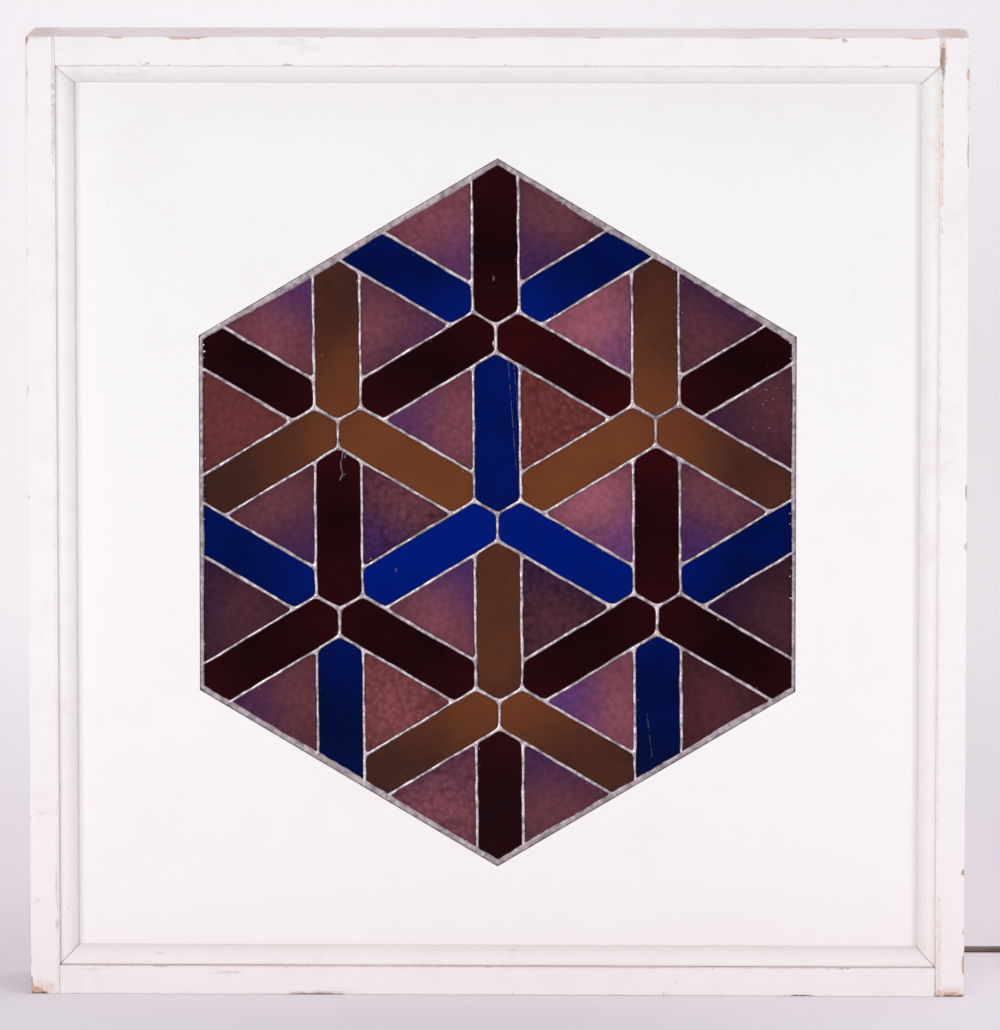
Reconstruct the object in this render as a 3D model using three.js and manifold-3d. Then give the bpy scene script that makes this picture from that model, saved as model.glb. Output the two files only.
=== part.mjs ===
// A hexagonal stained glass panel framed as a light box, in millimetres, +Z up.
// The origin is under the middle of the box, on the surface it stands on, and the front faces -Y.
import * as THREE from "three";
import { mergeVertices } from "three/addons/utils/BufferGeometryUtils.js";
import Module from "manifold-3d";

const wasm = await Module();
wasm.setup();

const fitGap = 0.3; // between two pieces that touch

// The box, made of boards 19 x 89 set on edge.
const boxWidth = 615;
const boxHeight = 632;
const boxDepth = 89;
const boardThickness = 19;
const boxFront = -boxDepth / 2;
const innerWidth = boxWidth - 2 * boardThickness;
const innerHeight = boxHeight - 2 * boardThickness;

// The sheets that close it, and the quarter-round moulding in front of the front panel.
const sheetThickness = 6;
const panelRecess = 16; // from the front edges of the boards to the face of the front panel
const mouldingLeg = 12; // both legs of the quarter-round
const mouldingSides = 8; // faces round its curve
const netRecess = 0.5; // from the face of the front panel to the face of the solder

// The glass. Fans of three long panes stand on a lattice of nodes, and triangles fill the rest.
const columnPitch = 104.4;
const rowPitch = 124.6;
const paneWidth = 30.5; // of a long pane, from the middle of one seam to the middle of the next
const patternTurn = THREE.MathUtils.degToRad(0.5); // the fans sit a little askew in their border
const glassLift = 1.5; // middle of the glass above the middle of the box
const glassThickness = 3;

// The solder: a bead over each seam on both faces, joined by a thin web between the panes.
const beadWidth = 3;
const webWidth = 1;
const borderWidth = 4;
const borderWeb = 1; // the part of the border that closes the edge of the glass
const netThickness = 5.4;
const pocketThickness = glassThickness + 2 * fitGap;
const openingGap = 0.4; // between the border and the edge of the hexagonal opening

// The flex: a two-core lead that leaves the back near the lower right corner.
const cordDiameter = 4;
const cordSides = 8;
const cordStep = 2.4 * cordDiameter;
const cordHole = { x: 238, z: 27, diameter: 8.6 };
const reliefLength = 24;
const coil = { x: 382, y: 102.2, layers: 4, turnsPerLayer: 2.625, spacing: 4.3, radius: 22.5 };
const coilReach = (coil.turnsPerLayer * coil.spacing) / 2; // from the middle turn to the outermost one
const coilOuter = coil.radius + coilReach;
const coilHeight = (coil.layers - 1) * coil.spacing + cordDiameter;

const paint = { color: 0xe9e7ea, roughness: 0.55, metalness: 0 };
const materials = {
  board: new THREE.MeshStandardMaterial(paint),
  moulding: new THREE.MeshStandardMaterial({ ...paint, roughness: 0.5 }),
  panel: new THREE.MeshStandardMaterial({ ...paint, color: 0xf1f0f3 }),
  back: new THREE.MeshStandardMaterial({ color: 0xc9a878, roughness: 0.75, metalness: 0 }),
  solder: new THREE.MeshStandardMaterial({ color: 0xa9a4a8, roughness: 0.35, metalness: 0.9 }),
  garnet: new THREE.MeshStandardMaterial({ color: 0x2a0a10, roughness: 0.15, metalness: 0 }),
  cobalt: new THREE.MeshStandardMaterial({ color: 0x05196e, roughness: 0.12, metalness: 0 }),
  amber: new THREE.MeshStandardMaterial({ color: 0x60371c, roughness: 0.15, metalness: 0 }),
  mauve: new THREE.MeshStandardMaterial({ color: 0x6e4150, roughness: 0.25, metalness: 0 }),
  rubber: new THREE.MeshStandardMaterial({ color: 0x3d2c22, roughness: 0.6, metalness: 0 }),
  blade: new THREE.MeshStandardMaterial({ color: 0xb89a5a, roughness: 0.35, metalness: 1 }),
};

const root = new THREE.Group();

// Adds one named mesh to a group and gives it back to be placed.
function addPiece(group, name, geometry, material) {
  const piece = new THREE.Mesh(geometry, material.clone());
  piece.name = name;
  group.add(piece);
  return piece;
}

// A closed geometry as a solid that can be joined or cut.
function toSolid(geometry) {
  const bare = geometry.clone();
  bare.deleteAttribute("normal");
  bare.deleteAttribute("uv");
  const merged = mergeVertices(bare, 1e-4);
  return new wasm.Manifold(
    new wasm.Mesh({
      numProp: 3,
      vertProperties: new Float32Array(merged.getAttribute("position").array),
      triVerts: new Uint32Array(merged.getIndex().array),
    }),
  );
}

function toGeometry(solid) {
  const mesh = solid.getMesh();
  const indexed = new THREE.BufferGeometry();
  indexed.setAttribute("position", new THREE.BufferAttribute(mesh.vertProperties, 3));
  indexed.setIndex(new THREE.BufferAttribute(mesh.triVerts, 1));
  const flat = indexed.toNonIndexed();
  flat.computeVertexNormals();
  return flat;
}

// A straight prism on an outline in the XY plane, from one height to another.
function prism(outline, low, high, holes = []) {
  const shape = new THREE.Shape(outline);
  shape.holes = holes.map((hole) => new THREE.Path(hole));
  const geometry = new THREE.ExtrudeGeometry(shape, { depth: high - low, bevelEnabled: false });
  return geometry.translate(0, 0, low);
}

function rectangle(width, height) {
  const x = width / 2;
  const y = height / 2;
  return [
    new THREE.Vector2(-x, -y),
    new THREE.Vector2(x, -y),
    new THREE.Vector2(x, y),
    new THREE.Vector2(-x, y),
  ];
}

function circle(x, y, radius, sides) {
  return Array.from({ length: sides }, (_, i) => {
    const angle = (2 * Math.PI * i) / sides;
    return new THREE.Vector2(x + radius * Math.cos(angle), y + radius * Math.sin(angle));
  });
}

// ---- Outlines as the meeting of half-planes. A half-plane keeps the points whose
// distance along its normal is below its limit.

function halfPlane(normal, point, reach, kind) {
  return { normal, limit: normal.dot(point) + reach, kind };
}

// Cuts a large square by each half-plane in turn, each drawn in by the inset of its kind.
function outlineOf(planes, insets) {
  let outline = rectangle(boxWidth, boxWidth);
  for (const plane of planes) {
    const limit = plane.limit - insets[plane.kind];
    const kept = [];
    outline.forEach((point, i) => {
      const next = outline[(i + 1) % outline.length];
      const here = plane.normal.dot(point) - limit;
      const there = plane.normal.dot(next) - limit;
      if (here <= 0) kept.push(point);
      if (here * there < 0) kept.push(point.clone().lerp(next, here / (here - there)));
    });
    outline = kept;
  }
  return outline;
}

// ---- The lattice of the glass, seen from the front with the middle of the glass at 0, 0.

const armSlope = Math.atan2(rowPitch / 2, columnPitch);
const arms = {
  up: { columns: 0, rows: 1, angle: Math.PI / 2 },
  left: { columns: -1, rows: -0.5, angle: Math.PI + armSlope },
  right: { columns: 1, rows: -0.5, angle: -armSlope },
};
const centre = new THREE.Vector2();

function directionOf(arm) {
  const angle = arms[arm].angle + patternTurn;
  return new THREE.Vector2(Math.cos(angle), Math.sin(angle));
}

function nodeAt(column, row) {
  const node = new THREE.Vector2(column * columnPitch, row * rowPitch);
  return node.rotateAround(centre, patternTurn);
}

// The six border lines, in place of the inner edges of the fans that would stand outside them.
function borderPlanes() {
  const slopeReach = 2 * rowPitch * Math.cos(armSlope) - paneWidth / 2;
  const sideReach = 2 * columnPitch - paneWidth / 2;
  const planes = [];
  for (const side of [-1, 1]) {
    const outwards = new THREE.Vector2(side, 0);
    planes.push(halfPlane(outwards, centre, sideReach, "border"));
    for (const rise of [-1, 1]) {
      const angle = rise * (Math.PI / 2 - side * armSlope);
      const slanted = new THREE.Vector2(Math.cos(angle), Math.sin(angle));
      planes.push(halfPlane(slanted, centre, slopeReach, "border"));
    }
  }
  return planes;
}

const border = borderPlanes();

function insideBorder(point) {
  return border.every((plane) => plane.normal.dot(point) < plane.limit);
}

// A long pane runs along one arm of a node to the next node.
function armMiddle(column, row, arm) {
  const { columns, rows } = arms[arm];
  return nodeAt(column + columns / 2, row + rows / 2);
}

function armIsGlass(column, row, arm) {
  return insideBorder(armMiddle(column, row, arm));
}

// The long edge of an arm that faces a point, keeping the arm's side or the far side of it.
function armEdge(column, row, arm, facing, keepArm) {
  const node = nodeAt(column, row);
  const along = directionOf(arm);
  const across = new THREE.Vector2(-along.y, along.x);
  if (across.dot(facing.clone().sub(node)) < 0) across.negate();
  if (keepArm) return halfPlane(across, node, paneWidth / 2, "seam");
  return halfPlane(across.clone().negate(), node, -paneWidth / 2, "seam");
}

function othersThan(arm) {
  return Object.keys(arms).filter((name) => name !== arm);
}

// A long pane: its two edges, the mitres with its sister panes, and the arms it runs into.
function longPane(column, row, arm) {
  const node = nodeAt(column, row);
  const along = directionOf(arm);
  const across = new THREE.Vector2(-along.y, along.x);
  const planes = [
    halfPlane(across, node, paneWidth / 2, "seam"),
    halfPlane(across.clone().negate(), node, paneWidth / 2, "seam"),
  ];
  const farColumn = column + arms[arm].columns;
  const farRow = row + arms[arm].rows;
  for (const other of othersThan(arm)) {
    const mitre = directionOf(other).sub(along).normalize();
    if (armIsGlass(column, row, other)) planes.push(halfPlane(mitre, node, 0, "mitre"));
    if (armIsGlass(farColumn, farRow, other)) {
      planes.push(armEdge(farColumn, farRow, other, node, false));
    }
  }
  return { column, row, arm, planes: [...planes, ...border] };
}

// A triangle beside the upward arm of a node: side is -1 to its left and 1 to its right.
function trianglePane(column, row, side) {
  const middle = nodeAt(column + side * 0.35, row + 0.5);
  const roof = side < 0 ? "left" : "right";
  const sill = side < 0 ? "right" : "left";
  const walls = [
    [column, row, "up"],
    [column, row + 1, roof],
    [column + side, row + 0.5, sill],
  ];
  const planes = walls
    .filter((wall) => armIsGlass(...wall))
    .map((wall) => armEdge(...wall, middle, false));
  return { middle, planes: [...planes, ...border] };
}

const longPanes = [];
const trianglePanes = [];
for (let column = -2; column <= 2; column += 1) {
  const half = column % 2 === 0 ? 0 : 0.5;
  for (let row = 2 - half; row >= -2; row -= 1) {
    for (const arm of Object.keys(arms)) {
      if (armIsGlass(column, row, arm)) longPanes.push(longPane(column, row, arm));
    }
    for (const side of [-1, 1]) {
      const pane = trianglePane(column, row, side);
      if (insideBorder(pane.middle)) trianglePanes.push(pane);
    }
  }
}
// The triangles are counted from the top, and from left to right in each row.
const rowBand = rowPitch / 4;
trianglePanes.sort(
  (a, b) =>
    Math.round(b.middle.y / rowBand) - Math.round(a.middle.y / rowBand) || a.middle.x - b.middle.x,
);

// ---- Pieces of glass and the net of solder, in a group that looks out of the front.

const glassGroup = new THREE.Group();
const netFront = boxFront + panelRecess + netRecess;
glassGroup.position.set(0, netFront + netThickness / 2, boxHeight / 2 + glassLift);
glassGroup.rotation.x = Math.PI / 2;
root.add(glassGroup);

const overlap = 0.05; // of the three panes of a fan, where their edges meet
const glassInsets = {
  seam: webWidth / 2 + fitGap,
  mitre: -overlap,
  border: borderWeb + fitGap - borderWidth / 2,
};
const pocketInsets = {
  seam: webWidth / 2,
  mitre: -overlap,
  border: borderWeb - borderWidth / 2,
};
const sightInsets = { seam: beadWidth / 2, mitre: beadWidth / 2, border: borderWidth / 2 };
const netInsets = { border: -borderWidth / 2 };

function glassPrism(pane) {
  return prism(outlineOf(pane.planes, glassInsets), -glassThickness / 2, glassThickness / 2);
}

const colourOrder = ["cobalt", "garnet", "amber"];
// The colours follow each other down every column, the odd columns one step behind.
function colourOf(column, row) {
  const step = column % 2 === 0 ? row : row - 1.5;
  return colourOrder[((step % 3) + 3) % 3];
}

function placeOf(column, row) {
  const height = { 2: "top", 1: "upper", 0: "middle", "-1": "lower", "-2": "bottom" };
  const across = { "-2": "outer_left", "-1": "left", 0: "centre", 1: "right", 2: "outer_right" };
  return `${height[Math.ceil(row)]}_${across[column]}`;
}

const fans = new Map();
for (const pane of longPanes) {
  const key = `${colourOf(pane.column, pane.row)} ${placeOf(pane.column, pane.row)}`;
  if (!fans.has(key)) fans.set(key, []);
  fans.get(key).push(pane);
}
for (const [key, panes] of fans) {
  const [colour, place] = key.split(" ");
  const solid = panes.map((pane) => toSolid(glassPrism(pane))).reduce((a, b) => a.add(b));
  const kind = panes.length > 1 ? "fan" : "pane";
  addPiece(glassGroup, `${colour}_${kind}_${place}`, toGeometry(solid), materials[colour]);
}
trianglePanes.forEach((pane, i) => {
  const number = String(i + 1).padStart(2, "0");
  addPiece(glassGroup, `mauve_triangle_${number}`, glassPrism(pane), materials.mauve);
});

function solderNet() {
  const half = netThickness / 2;
  const pocket = pocketThickness / 2;
  let net = toSolid(prism(outlineOf(border, netInsets), -half, half));
  for (const pane of [...longPanes, ...trianglePanes]) {
    const sight = prism(outlineOf(pane.planes, sightInsets), -2 * half, 2 * half);
    const groove = prism(outlineOf(pane.planes, pocketInsets), -pocket, pocket);
    net = net.subtract(toSolid(sight)).subtract(toSolid(groove));
  }
  return toGeometry(net);
}
addPiece(glassGroup, "solder_net", solderNet(), materials.solder);

// ---- The front panel with its hexagonal opening, and the back panel with the hole of the flex.

function uprightSheet(name, holes, frontFace, material) {
  const outline = rectangle(innerWidth - 2 * fitGap, innerHeight - 2 * fitGap);
  const sheet = addPiece(root, name, prism(outline, -sheetThickness, 0, holes), material);
  sheet.rotation.x = Math.PI / 2;
  sheet.position.set(0, frontFace, boxHeight / 2);
}

const openingInsets = { border: -borderWidth / 2 - openingGap };
const opening = outlineOf(border, openingInsets).map(
  (point) => new THREE.Vector2(point.x, point.y + glassLift),
);
uprightSheet("front_panel", [opening], boxFront + panelRecess, materials.panel);

const backFace = boxDepth / 2;
const cordOpening = circle(cordHole.x, cordHole.z - boxHeight / 2, cordHole.diameter / 2, 20);
uprightSheet("back_panel", [cordOpening], backFace - sheetThickness, materials.back);

// ---- The boards.

function board(name, width, height, x, z) {
  const geometry = new THREE.BoxGeometry(width, boxDepth, height);
  addPiece(root, name, geometry, materials.board).position.set(x, 0, z);
}

const sideX = (boxWidth - boardThickness) / 2;
const middleZ = boxHeight / 2;
const capLength = innerWidth - 2 * fitGap;
board("side_board_left", boardThickness, boxHeight, -sideX, middleZ);
board("side_board_right", boardThickness, boxHeight, sideX, middleZ);
board("top_board", capLength, boardThickness, 0, boxHeight - boardThickness / 2);
board("bottom_board", capLength, boardThickness, 0, boardThickness / 2);

// ---- The quarter-round moulding, mitred at the corners.

// A quarter disc with its square corner against a board (x = 0) and the panel (y = 0).
function mouldingSection() {
  const points = [new THREE.Vector2(0, 0)];
  for (let i = 0; i <= mouldingSides; i += 1) {
    const angle = (Math.PI / 2) * (i / mouldingSides);
    points.push(new THREE.Vector2(mouldingLeg * Math.cos(angle), mouldingLeg * Math.sin(angle)));
  }
  return points;
}

// One length of moulding along Z, its square corner on the Z axis, mitred at both ends so that
// it gets shorter with the distance from the board.
function mitredMoulding(length) {
  const half = length / 2;
  const bar = toSolid(prism(mouldingSection(), -half, half));
  const past = 2 * mouldingLeg;
  const corner = half - fitGap / 2;
  const wedge = [
    new THREE.Vector2(-past, corner + past),
    new THREE.Vector2(past, corner - past),
    new THREE.Vector2(past, corner + past),
  ];
  const upper = prism(wedge, -past, past);
  upper.rotateX(Math.PI / 2);
  const lower = upper.clone().rotateX(Math.PI);
  return toGeometry(bar.subtract(toSolid(upper)).subtract(toSolid(lower)));
}

const roundHeight = innerHeight - 2 * fitGap;
const roundWidth = innerWidth - 2 * fitGap;
const mouldingBack = boxFront + panelRecess - fitGap;
const mouldings = [
  ["quarter_round_left", roundHeight, 0, -roundWidth / 2, 0],
  ["quarter_round_bottom", roundWidth, Math.PI / 2, 0, -roundHeight / 2],
  ["quarter_round_right", roundHeight, Math.PI, roundWidth / 2, 0],
  ["quarter_round_top", roundWidth, -Math.PI / 2, 0, roundHeight / 2],
];
for (const [name, length, turn, x, z] of mouldings) {
  const holder = new THREE.Group();
  holder.position.set(x, mouldingBack, middleZ + z);
  holder.rotation.y = -turn;
  const piece = addPiece(holder, name, mitredMoulding(length), materials.moulding);
  piece.rotation.x = Math.PI; // the curve looks forwards, to -Y
  root.add(holder);
}

// ---- The flex: strain relief, lead, coil, tail and plug.

function strainRelief() {
  const neck = cordHole.diameter / 2 - fitGap;
  const profile = [
    new THREE.Vector2(0, -sheetThickness - 1.5),
    new THREE.Vector2(neck, -sheetThickness - 1.5),
    new THREE.Vector2(neck, fitGap),
    new THREE.Vector2(7.5, fitGap),
    new THREE.Vector2(7.5, 1.8),
    new THREE.Vector2(6.5, 2.8),
    new THREE.Vector2(4.6, 3.4),
    new THREE.Vector2(3, reliefLength),
    new THREE.Vector2(0, reliefLength),
  ];
  return new THREE.LatheGeometry(profile, 24);
}

const relief = addPiece(root, "strain_relief", strainRelief(), materials.rubber);
relief.position.set(cordHole.x, backFace, cordHole.z);

function cordTube(points) {
  const path = new THREE.CatmullRomCurve3(points);
  const steps = Math.ceil(path.getLength() / cordStep);
  const section = new THREE.Shape(circle(0, 0, cordDiameter / 2, cordSides));
  return new THREE.ExtrudeGeometry(section, { steps, extrudePath: path, bevelEnabled: false });
}

// Out of the back, down to the floor in a wide turn, and along it past the corner of the box.
const cordRest = cordDiameter / 2 + 0.1;
const coilEdge = 16.5; // from the point where the cord joins the coil back to the coil's outside
const leadY = coil.y + coilOuter;
const leadPoints = [
  new THREE.Vector3(cordHole.x, backFace + reliefLength + fitGap, cordHole.z),
  new THREE.Vector3(238, 76, 26.8),
  new THREE.Vector3(238.5, 85.5, 25.7),
  new THREE.Vector3(240.4, 96, 23.2),
  new THREE.Vector3(244.9, 107, 19.2),
  new THREE.Vector3(252.1, 116.6, 14.8),
  new THREE.Vector3(261.5, 124, 10.4),
  new THREE.Vector3(272.6, 128.5, 6.6),
  new THREE.Vector3(284.6, 130.1, 4),
  new THREE.Vector3(297, 130.3, 2.6),
  new THREE.Vector3(309.5, 130.3, cordRest),
  new THREE.Vector3(326, 130.2, cordRest),
  new THREE.Vector3(346, 130.3, cordRest),
  new THREE.Vector3(coil.x - coilEdge, leadY, cordRest),
];
addPiece(root, "cord_lead", cordTube(leadPoints), materials.rubber);

function coilRing() {
  const inner = coil.radius - coilReach - cordDiameter / 2;
  const outer = coilOuter + cordDiameter / 2;
  const profile = [
    new THREE.Vector2(inner, 0),
    new THREE.Vector2(outer, 0),
    new THREE.Vector2(outer, coilHeight),
    new THREE.Vector2(inner, coilHeight),
    new THREE.Vector2(inner, 0),
  ];
  return new THREE.LatheGeometry(profile, 32);
}

const ring = addPiece(root, "cord_coil", coilRing(), materials.rubber);
ring.rotation.x = Math.PI / 2;
ring.position.set(coil.x, coil.y, 0);

// Off the coil's top layer, down towards the floor and into the plug.
const plug = { length: 27, width: 19, neck: 9, thickness: 9, end: 32 };
const tailX = coil.x + coilOuter;
const plugMiddle = plug.thickness / 2;
const tailTop = coilHeight - cordDiameter / 2;
const tailPoints = [
  new THREE.Vector3(tailX, coil.y - coilEdge, tailTop),
  new THREE.Vector3(tailX, 73, 12.2),
  new THREE.Vector3(tailX, 60, 8.2),
  new THREE.Vector3(tailX, 47, 5.2),
  new THREE.Vector3(tailX, plug.end + fitGap, plugMiddle),
];
addPiece(root, "cord_tail", cordTube(tailPoints), materials.rubber);

function plugOutline() {
  const outline = new THREE.Shape();
  const wide = plug.width / 2;
  const narrow = plug.neck / 2;
  outline.moveTo(-narrow, 0);
  outline.quadraticCurveTo(-narrow, -0.4 * plug.length, -wide, -0.55 * plug.length);
  outline.lineTo(-wide, -plug.length);
  outline.lineTo(wide, -plug.length);
  outline.lineTo(wide, -0.55 * plug.length);
  outline.quadraticCurveTo(narrow, -0.4 * plug.length, narrow, 0);
  return outline.getPoints(4);
}

const plugGroup = new THREE.Group();
plugGroup.position.set(tailX, plug.end, 0);
root.add(plugGroup);
addPiece(plugGroup, "plug_body", prism(plugOutline(), 0, plug.thickness), materials.rubber);

const blade = { thickness: 1.5, height: 6.3, length: 16, spacing: 12.7 };
for (const [name, side] of [
  ["plug_blade_near", -1],
  ["plug_blade_far", 1],
]) {
  const geometry = new THREE.BoxGeometry(blade.thickness, blade.length, blade.height);
  const bladeY = -plug.length - fitGap - blade.length / 2;
  const piece = addPiece(plugGroup, name, geometry, materials.blade);
  piece.position.set((side * blade.spacing) / 2, bladeY, plugMiddle);
}

export default root;
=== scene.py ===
import math

import bpy
import numpy as np
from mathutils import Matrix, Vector


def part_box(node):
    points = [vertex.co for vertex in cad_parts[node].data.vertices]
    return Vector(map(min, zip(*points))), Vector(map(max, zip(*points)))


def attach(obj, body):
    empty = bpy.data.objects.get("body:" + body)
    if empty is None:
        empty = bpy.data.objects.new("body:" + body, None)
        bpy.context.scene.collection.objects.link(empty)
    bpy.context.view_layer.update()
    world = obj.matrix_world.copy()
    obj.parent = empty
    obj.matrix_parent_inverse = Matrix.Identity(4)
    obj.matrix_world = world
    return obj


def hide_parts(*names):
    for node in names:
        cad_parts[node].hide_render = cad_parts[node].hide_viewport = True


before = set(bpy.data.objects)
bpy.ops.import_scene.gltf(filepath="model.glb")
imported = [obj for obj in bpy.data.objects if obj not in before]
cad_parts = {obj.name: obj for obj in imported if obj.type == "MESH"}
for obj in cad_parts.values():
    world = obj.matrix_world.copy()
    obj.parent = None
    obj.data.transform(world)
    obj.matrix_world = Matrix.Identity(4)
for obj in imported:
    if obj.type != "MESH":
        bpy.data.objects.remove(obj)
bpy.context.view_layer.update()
mm = 0.001
tau = 2 * math.pi


# Smooth noise from -1 to 1: random values on a lattice, eased from corner to corner of each cell.
def smoothNoise(points, cell, seed):
    scaled = np.asarray(points, float) / cell + 1000.5
    low = np.floor(scaled).astype(np.int64)
    share = scaled - low
    ease = share * share * (3 - 2 * share)
    total = np.zeros(scaled.shape[:-1])
    for corner in np.ndindex(*(2,) * scaled.shape[-1]):
        key = np.full(total.shape, seed * 7919 + 17, np.int64)
        weight = np.ones(total.shape)
        for axis, step in enumerate(corner):
            key = (key * 1103515245 + (low[..., axis] + step) * 374761393 + 12345) & 0xFFFFFFFF
            key ^= key >> 15
            weight *= ease[..., axis] if step else 1 - ease[..., axis]
        key = (key * 2246822519) & 0xFFFFFFFF
        key ^= key >> 13
        total += weight * (key / 2147483648.0 - 1)
    return total


def smoothStep(low, high, value):
    t = np.clip((value - low) / (high - low), 0, 1)
    return t * t * (3 - 2 * t)


# A line through the points, each stretch a cubic that leans as its neighbours do.
def smoothLine(points, step):
    points = np.asarray(points, float)
    start, end = points[:-1], points[1:]
    before = np.vstack([2 * points[0] - points[1], points[:-2]])
    after = np.vstack([points[2:], 2 * points[-1] - points[-2]])
    spans = np.linalg.norm(end - start, axis=1)
    counts = np.maximum(2, np.ceil(spans / step).astype(int))
    which = np.repeat(np.arange(len(spans)), counts)
    t = ((np.arange(counts.sum()) - (np.cumsum(counts) - counts)[which]) / counts[which])[:, None]
    p0, p1, p2, p3 = before[which], start[which], end[which], after[which]
    line = 0.5 * (2 * p1 + (p2 - p0) * t + (2 * p0 - 5 * p1 + 4 * p2 - p3) * t**2
                  + (3 * p1 - p0 - 3 * p2 + p3) * t**3)
    return np.vstack([line, points[-1]])


# Quads between the rings of a grid of points; rings close on themselves.
def ringQuads(rings, sides):
    i = np.arange(rings - 1)[:, None] * sides
    j = np.arange(sides)[None]
    k = (j + 1) % sides
    return np.stack([i + j, i + k, i + sides + k, i + sides + j], -1).reshape(-1, 4)


# A closed skin over rings of points: quads from ring to ring, and a fan to a pole at either end.
def skinOf(rings, firstPole, lastPole):
    count, sides = rings.shape[:2]
    points = np.vstack([rings.reshape(-1, 3), firstPole, lastPole])
    j = np.arange(sides)
    k = (j + 1) % sides
    last = (count - 1) * sides
    first = np.stack([k, j, np.full(sides, count * sides)], -1)
    end = np.stack([last + j, last + k, np.full(sides, count * sides + 1)], -1)
    return points, ringQuads(count, sides).tolist() + first.tolist() + end.tolist()


# Puts points (in mm) and faces into a new object; facing is +1 where the faces already look out.
def addMesh(name, points, faces, material, attributes=None, smooth=True, facing=1):
    if facing < 0:
        faces = [face[::-1] for face in faces]
    mesh = bpy.data.meshes.new(name)
    mesh.from_pydata((np.asarray(points) * mm).tolist(), [], faces)
    mesh.polygons.foreach_set("use_smooth", np.full(len(mesh.polygons), smooth))
    for label, values in (attributes or {}).items():
        layer = mesh.attributes.new(label, "FLOAT", "POINT")
        layer.data.foreach_set("value", np.asarray(values, np.float32))
    mesh.materials.append(material)
    mesh.update()
    made = bpy.data.objects.new(name, mesh)
    bpy.context.scene.collection.objects.link(made)
    return made


def standFor(piece, slot, *nodes):
    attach(piece, "root")
    if nodes:
        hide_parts(*nodes)
    return piece


def boxOf(node):
    low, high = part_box(node)
    return np.array(low) / mm, np.array(high) / mm


# Adds a node; an input that is a socket is linked, any other is set.
def addNode(tree, kind, inputs=None, **settings):
    made = tree.nodes.new(kind)
    for name, value in settings.items():
        setattr(made, name, value)
    for name, value in (inputs or {}).items():
        if isinstance(value, bpy.types.NodeSocket):
            tree.links.new(value, made.inputs[name])
        else:
            made.inputs[name].default_value = value
    return made


def maths(tree, operation, first, second=0.0, clamp=False):
    made = addNode(tree, "ShaderNodeMath", {0: first, 1: second}, operation=operation, use_clamp=clamp)
    return made.outputs[0]


def times(tree, first, second, clamp=False):
    return maths(tree, "MULTIPLY", first, second, clamp)


def plus(tree, first, second, clamp=False):
    return maths(tree, "ADD", first, second, clamp)


# Eases a value from 0 at low to 1 at high.
def easeBetween(tree, value, low, high):
    made = addNode(tree, "ShaderNodeMapRange", {"Value": value, "From Min": low, "From Max": high},
                   interpolation_type="SMOOTHSTEP")
    return made.outputs["Result"]


def easeDown(tree, value, low, high):
    return maths(tree, "SUBTRACT", 1.0, easeBetween(tree, value, low, high))


def mixColors(tree, share, first, second, blend="MIX"):
    made = addNode(tree, "ShaderNodeMix", data_type="RGBA", blend_type=blend)
    sockets = {0: share, 6: first, 7: second}
    for index, value in sockets.items():
        if isinstance(value, bpy.types.NodeSocket):
            tree.links.new(value, made.inputs[index])
        else:
            made.inputs[index].default_value = (*value, 1) if index > 1 else value
    return made.outputs[2]


# Lays another colour over one, by a mask that is weakened to an amount.
def layOver(tree, color, mask, amount, other):
    return mixColors(tree, times(tree, mask, amount), color, other)


def noise(tree, where, scale, detail, roughness=0.5, distortion=0.0):
    made = addNode(tree, "ShaderNodeTexNoise", {"Vector": where, "Scale": scale, "Detail": detail,
                                                "Roughness": roughness, "Distortion": distortion})
    return made.outputs["Fac"]


# The space of a pattern, squeezed in the directions in which it is drawn out.
def squeezed(tree, given):
    place = {"Vector": given["Vector"], "Scale": given["Squeeze"]}
    return addNode(tree, "ShaderNodeMapping", place).outputs[0]


def newMaterial(name):
    material = bpy.data.materials.new(name)
    material.use_nodes = True
    tree = material.node_tree
    where = tree.nodes.new("ShaderNodeTexCoord").outputs["Object"]
    return material, tree, tree.nodes["Principled BSDF"], where


def heightOf(tree, where):
    return addNode(tree, "ShaderNodeSeparateXYZ", {0: where}).outputs["Z"]


# What the camera looks at, how far off it stands and how it is turned.
view = {
    "target": (1.05, 0.0, 313.4),
    "distance": 6000.0,
    "azimuth": 1.2,
    "elevation": 7.0,
    "lens": 327.44,
}


def addCamera():
    azimuth, elevation = math.radians(view["azimuth"]), math.radians(view["elevation"])
    back = Vector((
        math.sin(azimuth) * math.cos(elevation),
        -math.cos(azimuth) * math.cos(elevation),
        math.sin(elevation),
    ))
    data = bpy.data.cameras.new("camera")
    data.lens, data.sensor_width, data.sensor_fit = view["lens"], 36, "HORIZONTAL"
    data.clip_start, data.clip_end = 0.5, 60
    camera = bpy.data.objects.new("camera", data)
    bpy.context.scene.collection.objects.link(camera)
    camera.location = (Vector(view["target"]) + back * view["distance"]) * mm
    camera.rotation_mode = "QUATERNION"
    camera.rotation_quaternion = (-back).to_track_quat("-Z", "Y")
    bpy.context.scene.camera = camera


studio = {
    # Painted shade: the floor colour is darker than the wall's.
    "floor": (0.83, 0.78, 0.84),
    "wall": (0.93, 0.92, 0.95),
    "floorReach": 1.0,       # metres of floor in front of the box
    "wallAt": 0.45,          # metres behind it, where the floor turns up
    "floorBack": 6.0,        # how far back the floor goes behind the wall
    "turn": 0.7,             # radius of that turn
    "wallHeight": 4.0,
    "halfWidth": 5.0,
    "sky": (0.80, 0.79, 0.80),
    "ground": (0.40, 0.39, 0.40),
    "skyStrength": 0.54,
    "key": {"at": (-2.2, -5.0, 1.0), "size": 2.6, "power": 118, "color": (1.0, 0.985, 0.97)},
    "fill": {"at": (3.0, -4.4, 0.8), "size": 2.2, "power": 40, "color": (0.97, 0.97, 1.0)},
    "wallWash": {"at": (1.1, -0.2, 3.4), "size": 3.0, "power": 46, "color": (1.0, 1.0, 1.0),
                 "aim": (0, 1.2, 1.0)},
}


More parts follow.
